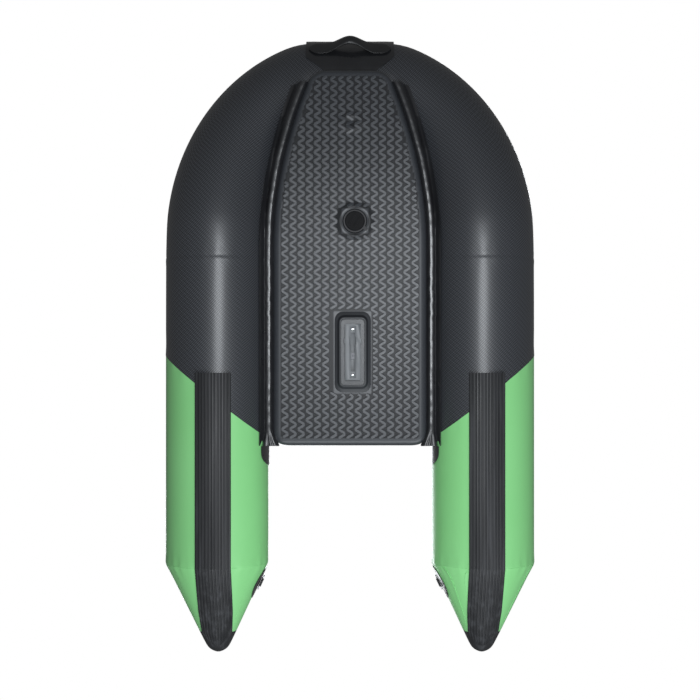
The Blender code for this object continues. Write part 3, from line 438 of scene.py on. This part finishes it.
def handle_rubber():
    finish = Finish("handle_rubber", 0.45, coat=0.1)
    cloud = finish.noise(30.0)
    finish.colour(finish.mix(cloud, (0.011, 0.011, 0.012), (0.020, 0.021, 0.023)))
    finish.roughness(finish.between(finish.noise(90.0), 0.3, 0.55))
    finish.raise_by(finish.noise(700.0, 2.0), 0.0001, 0.6)
    return finish.material


def moulded_plastic(name, dark, light, roughness, specular=0.5):
    """Hard moulded plastic with a spark-eroded grain."""
    finish = Finish(name, roughness, specular=specular)
    finish.colour(finish.mix(finish.noise(26.0), dark, light))
    grain = finish.noise(1400.0, 2.0)
    finish.roughness(finish.between(grain, roughness - 0.08, roughness + 0.1, 0.3, 0.7))
    finish.raise_by(grain, 0.00005, 0.6)
    return finish.material


def webbing():
    """Woven tape: ribs across its run with a fine zigzag of threads."""
    finish = Finish("webbing", 0.75)
    finish.shader.inputs["Sheen Weight"].default_value = 0.3

    def ribs(across, along):
        rows = finish.wave(along, 0.0018)
        return finish.math("MULTIPLY", rows, finish.wave(across + along, 0.0026))

    weave = finish.wrapped(ribs)
    finish.colour(finish.mix(weave, (0.006, 0.006, 0.007), (0.035, 0.036, 0.040)))
    finish.roughness(finish.between(weave, 0.85, 0.65))
    finish.raise_by(weave, 0.0003, 0.8)
    return finish.material


def stitch_yarn():
    finish = Finish("stitch_yarn", 0.8)
    strand = finish.wave((1, 0, 0), 0.003)
    finish.colour(finish.mix(strand, (0.45, 0.45, 0.43), (0.65, 0.65, 0.62)))
    finish.raise_by(strand, 0.0006, 0.8)
    return finish.material


def steel():
    """Polished stainless wire with fine drawn lines."""
    finish = Finish("steel", 0.2, metallic=1.0)
    lines = finish.noise(260.0, 3.0, (1, 1, 0.15))
    finish.colour(finish.mix(lines, (0.50, 0.51, 0.53), (0.74, 0.75, 0.77)))
    finish.roughness(finish.between(lines, 0.12, 0.34))
    finish.raise_by(lines, 0.00003, 0.4)
    return finish.material


def dull_steel_painted_shade():
    """Plated plate, unpolished and grey, and painted dark as shade for where it sits down in the
    fin box's slot.
    """
    finish = Finish("dull_steel_painted_shade", 0.5, metallic=1.0)
    finish.colour(finish.mix(finish.noise(120.0), (0.10, 0.10, 0.11), (0.16, 0.165, 0.17)))
    finish.raise_by(finish.noise(900.0, 2.0), 0.00003, 0.4)
    return finish.material


FINISHES = {
    "carbon_pvc": carbon_pvc(),
    "green_pvc": green_pvc(),
    "smooth_pvc": smooth_pvc(),
    "floor_pvc": floor_pvc(),
    "strake_rubber": strake_rubber(),
    "handle_rubber": handle_rubber(),
    "webbing": webbing(),
    "stitch_yarn": stitch_yarn(),
    "steel": steel(),
    "dull_steel_painted_shade": dull_steel_painted_shade(),
}
MOULDED = {
    "valve_plastic": ((0.004, 0.004, 0.005), (0.008, 0.008, 0.009), 0.6, 0.15),
    "valve_seal": ((0.022, 0.022, 0.024), (0.034, 0.034, 0.037), 0.6),
    "fin_plastic": ((0.12, 0.13, 0.138), (0.16, 0.17, 0.18), 0.4),
    "fin_flange": ((0.020, 0.022, 0.026), (0.032, 0.035, 0.040), 0.46),
    # Painted shade: near-black plastic for the fin box's outer sides down in the recess.
    "fin_recess_painted_shade": ((0.006, 0.006, 0.007), (0.010, 0.010, 0.012), 0.6, 0.2),
}
for name, look in MOULDED.items():
    FINISHES[name] = moulded_plastic(name, *look)


def dress(piece, slot):
    """Gives a piece one finish all over."""
    piece.data.materials.clear()
    piece.data.materials.append(FINISHES[slot])


def add_to_body(piece, slot, node):
    """Dresses a piece and lets it ride on the body that a CAD node belongs to."""
    dress(piece, slot)
    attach(piece, BODY_OF[node])


def finish_piece(piece, slot, node, angle=SHADE_ANGLE):
    """Shades and dresses a piece that stands for a CAD node, and lets it ride on its body."""
    smooth_shade(piece, angle)
    add_to_body(piece, slot, node)
    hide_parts(node)


def slot_of(node):
    """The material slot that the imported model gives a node."""
    return frame["nodes"][node].data.materials[0].name.split(".")[0]


# The two air tubes


def joint_distance(point):
    """How far aft of the slanting colour joint a point lies."""
    inward = TUBE_X + TUBE_RADIUS - abs(point.x)
    return point.y - JOINT_OUTER_Y - inward * JOINT_SLOPE


def tube_turn(point):
    return math.atan2(point.z - TUBE_Z, abs(point.x) - TUBE_X)


def bow_relief(point):
    """The weld's step round the tube, its puckers, and soft wrinkles near the colour joint."""
    weld = point.y - WELD_Y
    turn = tube_turn(point)
    height = -SEAM_DEPTH * hump(weld, 0.004)
    height += WELD_STEP * hump(weld - 0.012, 0.010)
    height += 0.0006 * hump(weld, 0.030) * uneven(22 * turn)
    joint = joint_distance(point)
    height += 0.0014 * hump(joint, 0.05) * uneven(9 * turn + 30 * point.y)
    return height


def build_bow_skins():
    for word in SIDES:
        skin = copy_of(f"{word}_bow_tube", f"{word}_bow_skin")
        keep_outside(skin, INNER_WALL_REACH, RIM)
        subdivide_smooth(skin, 2)
        weld = (0, WELD_Y, 0)
        cut_loops(skin, weld, (0, 1, 0), [step * WELD_LOOP_STEP for step in range(-8, 9)])
        cut_loops(skin, weld, (0, 1, 0), [0.06 + step * WRINKLE_LOOP_STEP for step in range(18)])
        shift(skin, bow_relief)
        add_modifier(skin, "SOLIDIFY", thickness=SKIN, offset=-1)
        finish_piece(skin, "carbon_pvc", f"{word}_bow_tube")


def seam_relief(point):
    """The cone seam's groove with small puckers, and puckers beside the slanting joint."""
    turn = tube_turn(point)
    seam = abs(point.y - SEAM_Y)
    height = -0.0003 * hump(seam, 0.004)
    height += 0.0017 * hump(seam, 0.024) * uneven(26 * turn) * min(seam / 0.004, 1)
    height += 0.0009 * hump(seam, 0.07) * uneven(7 * turn + 2)
    joint = joint_distance(point)
    height += 0.0008 * hump(joint, 0.03) * uneven(18 * turn)
    return height


def build_pontoon_skins():
    for word, side in SIDES.items():
        bpy.ops.object.select_all(action="DESELECT")
        length = SEAM_Y - JOINT_OUTER_Y
        bpy.ops.mesh.primitive_cylinder_add(
            vertices=TUBE_FACETS,
            radius=TUBE_RADIUS,
            depth=length,
            end_fill_type="NOTHING",
            location=(side * TUBE_X, SEAM_Y - length / 2, TUBE_Z),
            rotation=(math.pi / 2, 0, 0),
        )
        skin = bpy.context.object
        skin.name = f"{word}_pontoon_skin"
        bpy.ops.object.transform_apply(location=True, rotation=True, scale=True)
        start_editing(skin)
        corner = (side * (TUBE_X + TUBE_RADIUS), JOINT_OUTER_Y + 0.0004, 0)
        bpy.ops.mesh.bisect(plane_co=corner, plane_no=(side * JOINT_SLOPE, 1, 0), clear_inner=True)
        stop_editing()
        subdivide_smooth(skin, 2)
        cut_loops(skin, (0, SEAM_Y, 0), (0, -1, 0), SEAM_LOOPS)
        cut_loops(skin, corner, (side * JOINT_SLOPE, 1, 0), SEAM_LOOPS[1:9])
        shift(skin, seam_relief)
        add_modifier(skin, "SOLIDIFY", thickness=SKIN, offset=-1)
        drill(skin, middle_of(f"{word}_valve_body"), VALVE_HOLE, 0.08)
        finish_piece(skin, "green_pvc", f"{word}_pontoon_tube")


def build_cone_skins():
    for word in SIDES:
        skin = copy_of(f"{word}_stern_cone", f"{word}_cone_skin")
        keep_outside(skin, INNER_WALL_REACH, RIM)
        subdivide_smooth(skin, 2)
        cut_loops(skin, (0, SEAM_Y, 0), (0, 1, 0), SEAM_LOOPS[:10])
        shift(skin, seam_relief)
        add_modifier(skin, "SOLIDIFY", thickness=SKIN, offset=-1)
        finish_piece(skin, "green_pvc", f"{word}_stern_cone")
        cap = copy_of(f"{word}_cone_cap", f"{word}_cone_tip")
        crease_sharp(cap, CREASE_ANGLE)
        subdivide_smooth(cap, 2)
        finish_piece(cap, "strake_rubber", f"{word}_cone_cap")


def build_strakes():
    for word in SIDES:
        strip = copy_of(f"{word}_keel_strake", f"{word}_strake_strip")
        low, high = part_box(f"{word}_keel_strake")
        middle = (low.x + high.x) / 2
        for vertex in strip.data.vertices:
            share = max(1 - (high.y - vertex.co.y) / STRAKE_END, 0)
            vertex.co.x = middle + (vertex.co.x - middle) * math.sqrt(1 - 0.72 * share**2)
        add_modifier(
            strip, "BEVEL", width=0.0005, segments=2, limit_method="ANGLE", angle_limit=0.4
        )
        finish_piece(strip, "strake_rubber", f"{word}_keel_strake", angle=math.radians(50))


# The floor, its embossed tread and the tapes beside it


def floor_relief(point):
    """Under the floor: skin puffed up round the valve, and a small dent near the nose."""
    if point.z > FLOOR_MIDDLE_Z:
        return 0.0
    reach = (FLOOR_VALVE[1].x - FLOOR_VALVE[0].x) / 2
    away = math.hypot(point.x - FLOOR_VALVE_MIDDLE.x, point.y - FLOOR_VALVE_MIDDLE.y)
    height = 0.0036 * hump(away - reach - 0.007, 0.009)
    dent = math.hypot((point.x - FLOOR_DENT[0]) / 1.4, point.y - FLOOR_LOW.y - FLOOR_DENT[1])
    height -= 0.0030 * hump(dent, 0.010)
    height += 0.0012 * hump(dent - 0.018, 0.008)
    return height


def build_floor_skin():
    """The floor's skin: openings filled, remade of small even faces, then drilled for the valve."""
    skin = copy_of("floor_panel", "floor_skin")
    keep_outside(skin, 0.6)
    start_editing(skin, "EDGE")
    bpy.ops.mesh.select_all(action="DESELECT")
    bpy.ops.mesh.select_non_manifold()
    bpy.ops.mesh.fill()
    bpy.ops.mesh.select_all(action="SELECT")
    bpy.ops.mesh.normals_make_consistent(inside=False)
    stop_editing()
    add_modifier(skin, "REMESH", mode="VOXEL", voxel_size=FLOOR_VOXEL)
    add_modifier(skin, "SMOOTH", factor=0.5, iterations=5)
    shift(skin, floor_relief)
    mouth = (FLOOR_VALVE_MIDDLE.x, FLOOR_VALVE_MIDDLE.y, FLOOR_VALVE[0].z)
    drill(skin, mouth, VALVE_HOLE, 0.05)
    finish_piece(skin, "floor_pvc", "floor_panel", angle=math.radians(80))
    return skin


def around(reach):
    """Four steps of one length, right, left, aft and forward."""
    return [(reach, 0), (-reach, 0), (0, reach), (0, -reach)]


def all_flat(hits):
    """Whether every ray met the floor's skin where it lies nearly level."""
    return all(hit[0] is not None and abs(hit[1].z) > FLOOR_FLAT for hit in hits)


def mark_groove_shade(skin, fittings):
    """Marks the skin between the tread's bars, where the floor's finish paints the sheet darker as
    shade.
    """
    groove = skin.data.attributes.new("groove", "FLOAT", "POINT")
    surface = surface_of(skin)
    reach = TREAD_BORDER - 0.001
    for vertex in skin.data.vertices:
        x, y, z = vertex.co
        if abs(vertex.normal.z) < 0.9:
            continue
        under = z < FLOOR_MIDDLE_Z
        if under and any(in_box(corners, x, y, 0.002) for corners in fittings):
            continue
        start = Vector((x, y, z - 0.1 if under else z + 0.1))
        toward = Vector((0, 0, 1 if under else -1))
        steps = [Vector((across, along, 0)) for across, along in around(reach)]
        hits = [surface.ray_cast(start + step, toward, 0.2) for step in steps]
        groove.data[vertex.index].value = 1.0 if all_flat(hits) else 0.0


def surface_of(piece):
    return BVHTree.FromPolygons(
        [vertex.co for vertex in piece.data.vertices],
        [tuple(face.vertices) for face in piece.data.polygons],
    )


def tread_bar():
    """One raised bar of the tread, lying along X, as (points, faces)."""
    half = TREAD_LENGTH / 2
    wide = TREAD_WIDTH / 2
    plan = [(-half, 0), (-half + wide, -wide), (half - wide, -wide), (half, 0)]
    plan += [(half - wide, wide), (-half + wide, wide)]
    count = len(plan)
    points = []
    for spread, squeeze, height in ((1, 1, -0.0004), (0.97, 0.86, 0.8), (0.93, 0.66, 1)):
        rise = height if height < 0 else height * TREAD_RISE
        points += [Vector((x * spread, y * squeeze, rise)) for x, y in plan]
    faces = []
    for low in (0, count):
        for i in range(count):
            after = (i + 1) % count
            faces.append([low + i, low + after, low + count + after, low + count + i])
    faces.append([2 * count + i for i in range(count)])
    return points, faces


def in_box(corners, x, y, margin):
    low, high = corners
    return low.x - margin < x < high.x + margin and low.y - margin < y < high.y + margin


def build_tread(skin):
    """Rows of short bars that lean left and right in turn, on both faces of the floor."""
    surface = surface_of(skin)
    bar_points, bar_faces = tread_bar()
    fittings = [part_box("fin_base"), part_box("floor_valve_body")]
    # The marked skin between the bars gets painted shade.
    mark_groove_shade(skin, fittings)
    half = TREAD_LENGTH / 2
    rows = int((FLOOR_HIGH.y - FLOOR_LOW.y) / TREAD_ROW)
    columns = int((FLOOR_HIGH.x - FLOOR_LOW.x) / TREAD_PITCH) + 1
    faces_of_floor = (("under", FLOOR_LOW.z - 0.1, 1), ("deck", FLOOR_HIGH.z + 0.1, -1))
    for face_name, start_z, up in faces_of_floor:

        def find(x, y):
            return surface.ray_cast(Vector((x, y, start_z)), Vector((0, 0, up)), 0.2)

        def is_flat(x, y):
            if up > 0 and any(in_box(corners, x, y, TREAD_CLEAR) for corners in fittings):
                return False
            return all_flat([find(x + across, y + aft) for across, aft in around(TREAD_BORDER)])

        def fitting_share(x, y, heading):
            """How much of half a bar fits along a heading before the border or a fitting."""
            for share in (1, 0.8, 0.6, 0.4, 0.2):
                if is_flat(x + heading.x * share * half, y + heading.y * share * half):
                    return share
            return TREAD_STUB

        points = []
        faces = []
        for row in range(rows):
            y = FLOOR_HIGH.y - TREAD_BORDER - (row + 0.5) * TREAD_ROW
            lean = TREAD_SLANT if row % 2 else -TREAD_SLANT
            for column in range(-columns, columns + 1):
                x = column * TREAD_PITCH
                if not is_flat(x, y):
                    continue
                place, normal = find(x, y)[:2]
                side = normal.cross(Vector((0, 1, 0))).normalized()
                fore = normal.cross(side)
                along = side * math.cos(lean) + fore * math.sin(lean)
                turn = Matrix((along, normal.cross(along), normal)).transposed()
                heading = Vector((along.x, along.y)).normalized()
                shares = {end: fitting_share(x, y, heading * end) for end in (-1, 1)}
                first = len(points)
                for point in bar_points:
                    cut = Vector((point.x * shares[1 if point.x > 0 else -1], point.y, point.z))
                    points.append(place + turn @ cut)
                faces += [[first + i for i in face] for face in bar_faces]
        tread = new_piece(f"floor_tread_{face_name}", points, faces)
        smooth_shade(tread, math.radians(20))
        add_to_body(tread, "floor_pvc", "floor_panel")


def tape_stations(node):
    """Along an edge flap: (how far aft, the floor's half width, its underside, the tube's lips)."""
    shape = copy_of(node, "tape_guide")
    rings = {}
    for vertex in shape.data.vertices:
        under = rings.setdefault(round(vertex.co.y, 3), {})
        across = round(abs(vertex.co.x), 4)
        under[across] = min(vertex.co.z, under.get(across, 1.0))
    bpy.data.objects.remove(shape)
    stations = []
    for y, under in sorted(rings.items()):
        low = sorted(under.items())
        if len(low) > 4:
            stations.append((y, low[0][0] + FLAP_UNDER_FLOOR, low[0][1], low[-3], low[-1]))
    return stations


def tape_profile(y, edge, base, near_lip, far_lip, tail):
    """The tape's section: out of the floor's groove, over a piped crown, then up on the tube."""
    flare = max(1 - (tail - y) / TAPE_FLARE, 0) ** 1.5
    wrinkled = hump(y - (SHOULDER_Y + 0.20), 0.10)
    sway = 0.0016 * wrinkled * uneven(y * 130) + 0.0006 * uneven(y * 45)
    inner = edge + 0.0035 - 0.017 * flare + sway
    outer = edge + 0.0200 + 0.008 * flare + sway + 0.0012 * wrinkled * uneven(y * 210 + 1)
    width = outer - inner
    crown = base - 0.0022 + 0.0012 * flare - 0.0006 * abs(uneven(y * 60))
    line = [
        (inner - 0.0075, base + 0.0150 - 0.0115 * flare),
        (inner - 0.0030, base + 0.0095 - 0.0085 * flare),
        (inner - 0.0008, base + 0.0035 - 0.0040 * flare),
        (inner, base - 0.0002 - 0.0014 * flare),
    ]
    for share in (0.15, 0.3, 0.4, 0.5, 0.6, 0.7, 0.85):
        arch = 1 - (2 * share - 1) ** 4
        fold = 0.0024 * flare * math.sin(share * 6 * math.pi + y * 30)
        line.append((inner + width * share, base + (crown - base) * arch - 0.0016 * flare + fold))
    line += [
        (outer, base - 0.0002 - 0.0014 * flare),
        (outer + 0.0010, base + 0.0040),
        (outer + 0.0035, min(base + 0.0085, near_lip[1] + 0.004)),
        (max(near_lip[0], outer + 0.006), near_lip[1] - 0.0006),
        (max(far_lip[0], outer + 0.010), far_lip[1] - 0.0008),
    ]
    return line


def build_flaps():
    """Edge tapes: a bright piped strip in its groove, flared in folds where it ends at the tail."""
    for word, side in SIDES.items():
        stations = tape_stations(f"{word}_floor_flap")
        tail = stations[-1][0]
        points = []
        faces = []
        count = round((tail - stations[0][0]) / TAPE_STEP)
        place = 0
        for step in range(count + 1):
            y = stations[0][0] + (tail - stations[0][0]) * step / count
            while place < len(stations) - 2 and stations[place + 1][0] < y:
                place += 1
            before, after = stations[place], stations[place + 1]
            share = (y - before[0]) / (after[0] - before[0])

            def blended(first, second):
                return first + (second - first) * share

            edge = blended(before[1], after[1])
            base = blended(before[2], after[2])
            lips = [
                tuple(blended(first, second) for first, second in zip(before[i], after[i]))
                for i in (3, 4)
            ]
            line = tape_profile(y, edge, base, *lips, tail)
            points += [Vector((side * x, y, z)) for x, z in line]
            if step:
                first = (step - 1) * len(line)
                for i in range(first, first + len(line) - 1):
                    faces.append([i, i + 1, i + 1 + len(line), i + len(line)])
        tape = new_piece(f"{word}_edge_tape", points, faces)
        start_editing(tape)
        if side > 0:
            bpy.ops.mesh.flip_normals()
        stop_editing()
        add_modifier(tape, "SUBSURF", levels=1, render_levels=1)
        add_modifier(tape, "SOLIDIFY", thickness=SKIN, offset=-1)
        finish_piece(tape, "smooth_pvc", f"{word}_floor_flap", angle=math.radians(60))


def build_corner_patches():
    for word in SIDES:
        patch = copy_of(f"{word}_corner_patch", f"{word}_corner_tongue")
        crease_sharp(patch, CREASE_ANGLE)
        subdivide_smooth(patch, 2)
        finish_piece(patch, "smooth_pvc", f"{word}_corner_patch")


# Bow


def build_bow_panel():
    low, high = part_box("bow_panel")
    panel = copy_of("bow_panel", "bow_cover")
    steps = [low.x + (high.x - low.x) * share / 24 for share in range(1, 24)]
    cut_loops(panel, (0, 0, 0), (1, 0, 0), steps)
    crease_sharp(panel, CREASE_ANGLE)
    subdivide_smooth(panel, 2)

    def wrinkles(point):
        edge = min(point.x - low.x, high.x - point.x)
        fade = min(edge / 0.02, 1)
        folds = uneven(point.z * 110 + point.x * 14) + 0.3 * uneven(point.x * 60)
        return fade * 0.0007 * abs(folds)

    heart = Vector((0, high.y + 0.03, (low.z + high.z) / 2 + 0.05))
    for vertex in panel.data.vertices:
        away = vertex.co - heart
        away.x = 0
        vertex.co += away.normalized() * wrinkles(vertex.co)
    panel.data.update()
    finish_piece(panel, "smooth_pvc", "bow_panel")


def build_bow_handle():
    handle = copy_of("bow_handle", "bow_grip")
    subdivide_smooth(handle, 2)
    finish_piece(handle, "handle_rubber", "bow_handle")


# Small fittings


def build_rounded(node, name, levels=2):
    piece = copy_of(node, name)
    crease_sharp(piece, math.radians(75))
    subdivide_smooth(piece, levels)
    finish_piece(piece, slot_of(node), node)


def build_bevelled(node, name, width):
    """A moulded piece with its edges eased."""
    piece = copy_of(node, name)
    start_editing(piece)
    bpy.ops.mesh.dissolve_limited(angle_limit=math.radians(1))
    stop_editing()
    add_modifier(piece, "BEVEL", width=width, segments=2, limit_method="ANGLE", angle_limit=0.6)
    finish_piece(piece, slot_of(node), node)
    return piece


def build_fin_box():
    """The dark flange, and the box in it, lighter on its face than down its outer sides, which are
    painted near black as shade in the recess.
    """
    base = build_bevelled("fin_base", "fin_base_moulding", 0.0012)
    dress(base, "fin_flange")
    box = build_bevelled("fin_housing", "fin_box_moulding", 0.0005)
    # Faces outside the box's face block get the painted shade finish.
    box.data.materials.append(FINISHES["fin_recess_painted_shade"])
    middle = middle_of("fin_housing")
    half_x, half_y = FIN_BLOCK_HALF
    for face in box.data.polygons:
        corners = [box.data.vertices[i].co - middle for i in face.vertices]
        outside = any(abs(corner.x) > half_x or abs(corner.y) > half_y for corner in corners)
        face.material_index = 1 if outside else 0


def build_rings():
    for word in SIDES:
        for kind in ("cone", "deck"):
            build_rounded(f"{word}_{kind}_d_ring", f"{word}_{kind}_ring_wire")
            build_bevelled(f"{word}_{kind}_ring_strap", f"{word}_{kind}_ring_webbing", 0.0002)
            build_rounded(f"{word}_{kind}_ring_patch", f"{word}_{kind}_ring_base", 1)


def build_springs():
    """Valve springs, which press flat against the bridge of the body as the stem goes in; here each
    is smoothed and given a mesh of its own.
    """
    for place in ("floor", "left", "right"):
        node = f"{place}_valve_spring"
        spring = copy_of(node, f"{place}_valve_coil")
        subdivide_smooth(spring, 1)
        finish_piece(spring, slot_of(node), node)
        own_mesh(spring)


def build_nose_bead(skin):
    """The welded bead that closes the floor's nose to the tubes above it."""
    surface = surface_of(skin)
    middle_z = (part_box("drop_stitch_web")[1].z + FLOOR_LOW.z) / 2
    sides = []
    for step in range(BEAD_STEPS + 1):
        y = FLOOR_LOW.y + 0.030 + 0.022 * step
        hit = surface.ray_cast(Vector((0.5, y, middle_z)), Vector((-1, 0, 0)), 0.6)[0]
        sides.append(hit + Vector((-BEAD_INSET, 0, 0)))
    front = []
    for step in range(BEAD_STEPS + 1):
        x = (sides[0].x - 0.012) * (1 - 2 * step / BEAD_STEPS)
        ahead = Vector((x, FLOOR_LOW.y - 0.1, middle_z))
        hit = surface.ray_cast(ahead, Vector((0, 1, 0)), 0.4)[0]
        front.append(hit + Vector((0, BEAD_INSET, 0)))
    path = sides[::-1] + front + [Vector((-point.x, point.y, point.z)) for point in sides]
    for point in path:
        deck = surface.ray_cast(Vector((point.x, point.y, 0.4)), Vector((0, 0, -1)), 0.4)[0]
        point.z = deck.z + 0.002
    curve = bpy.data.curves.new("nose_bead", "CURVE")
    curve.dimensions = "3D"
    curve.bevel_depth = BEAD_RADIUS
    curve.bevel_resolution = 4
    curve.use_fill_caps = True
    spline = curve.splines.new("NURBS")
    spline.points.add(len(path) - 1)
    for knot, point in zip(spline.points, path):
        knot.co = (*point, 1)
    spline.use_endpoint_u = True
    bead = bpy.data.objects.new("nose_bead", curve)
    bpy.context.scene.collection.objects.link(bead)
    select_only(bead)
    bpy.ops.object.convert(target="MESH")
    smooth_shade(bead)
    add_to_body(bead, "smooth_pvc", "floor_panel")


# Stage, light and camera


def build_stage():
    """A plain pale floor, which the camera below looks past and which lights nothing."""
    bpy.ops.object.select_all(action="DESELECT")
    bpy.ops.mesh.primitive_plane_add(size=STAGE_SIZE, location=(0, 0, -STAGE_DROP))
    floor = bpy.context.object
    floor.name = "studio_floor"
    material = bpy.data.materials.new("studio_floor")
    material.use_nodes = True
    shader = material.node_tree.nodes["Principled BSDF"]
    shader.inputs["Base Color"].default_value = (0.82, 0.82, 0.82, 1)
    shader.inputs["Roughness"].default_value = 0.7
    floor.data.materials.append(material)
    floor.visible_shadow = False
    floor.visible_diffuse = False
    floor.visible_glossy = False


def build_world():
    """Even white surroundings, bright where the camera sees them and softer as a light."""
    world = bpy.data.worlds.new("studio")
    bpy.context.scene.world = world
    world.use_nodes = True
    tree = world.node_tree
    background = tree.nodes["Background"]
    background.inputs["Color"].default_value = (1, 1, 1, 1)
    path = tree.nodes.new("ShaderNodeLightPath")
    level = tree.nodes.new("ShaderNodeMapRange")
    level.inputs["To Min"].default_value = 0.15
    level.inputs["To Max"].default_value = 1.0
    tree.links.new(path.outputs["Is Camera Ray"], level.inputs["Value"])
    tree.links.new(level.outputs[0], background.inputs["Strength"])


def add_light(name, place, target, size, power):
    light = bpy.data.lights.new(name, "AREA")
    light.shape = "RECTANGLE"
    light.size = size[0]
    light.size_y = size[1]
    light.energy = power
    light.color = (0.92, 0.96, 1.0)
    lamp = bpy.data.objects.new(name, light)
    lamp.location = place
    lamp.rotation_euler = (Vector(target) - Vector(place)).to_track_quat("-Z", "Y").to_euler()
    lamp.visible_camera = False
    bpy.context.scene.collection.objects.link(lamp)


def build_lights():
    add_light("under_key", (0.15, -0.30, -3.4), (0.1, -0.15, 0.2), (1.0, 1.1), 60)
    add_light("under_stern", (0.7, 2.9, -2.4), (0, 0.35, 0.1), (3.6, 2.6), 110)
    add_light("top_key", (0.5, -0.7, 3.4), (0, 0, 0.2), (1.2, 1.6), 70)
    add_light("top_fill", (-0.7, 0.9, 3.2), (0, 0, 0.2), (1.2, 1.6), 35)


def build_camera():
    """Straight below the hull with the bow at the top, seeing only what is above the stage."""
    camera = bpy.data.cameras.new("camera")
    camera.sensor_width = 36
    camera.lens = CAMERA_LENS
    camera.clip_start = CAMERA_DROP - STAGE_DROP / 2
    eye = bpy.data.objects.new("camera", camera)
    eye.location = (0, SHOULDER_Y + CAMERA_AFT, -CAMERA_DROP)
    eye.rotation_euler = (math.pi, 0, 0)
    bpy.context.scene.collection.objects.link(eye)
    bpy.context.scene.camera = eye
    bpy.context.scene.view_settings.view_transform = "Standard"


build_camera()
build_world()
build_lights()
build_stage()
for node_name, node in frame["nodes"].items():
    dress(node, slot_of(node_name))
# The nut plate sits in the fin box's slot: its steel is painted darker as shade.
dress(frame["nodes"]["fin_nut_plate"], "dull_steel_painted_shade")
build_bow_skins()
build_pontoon_skins()
build_cone_skins()
build_strakes()
floor_skin = build_floor_skin()
build_tread(floor_skin)
build_nose_bead(floor_skin)
build_flaps()
build_corner_patches()
build_bow_panel()
build_bow_handle()
build_fin_box()
build_rings()
build_springs()
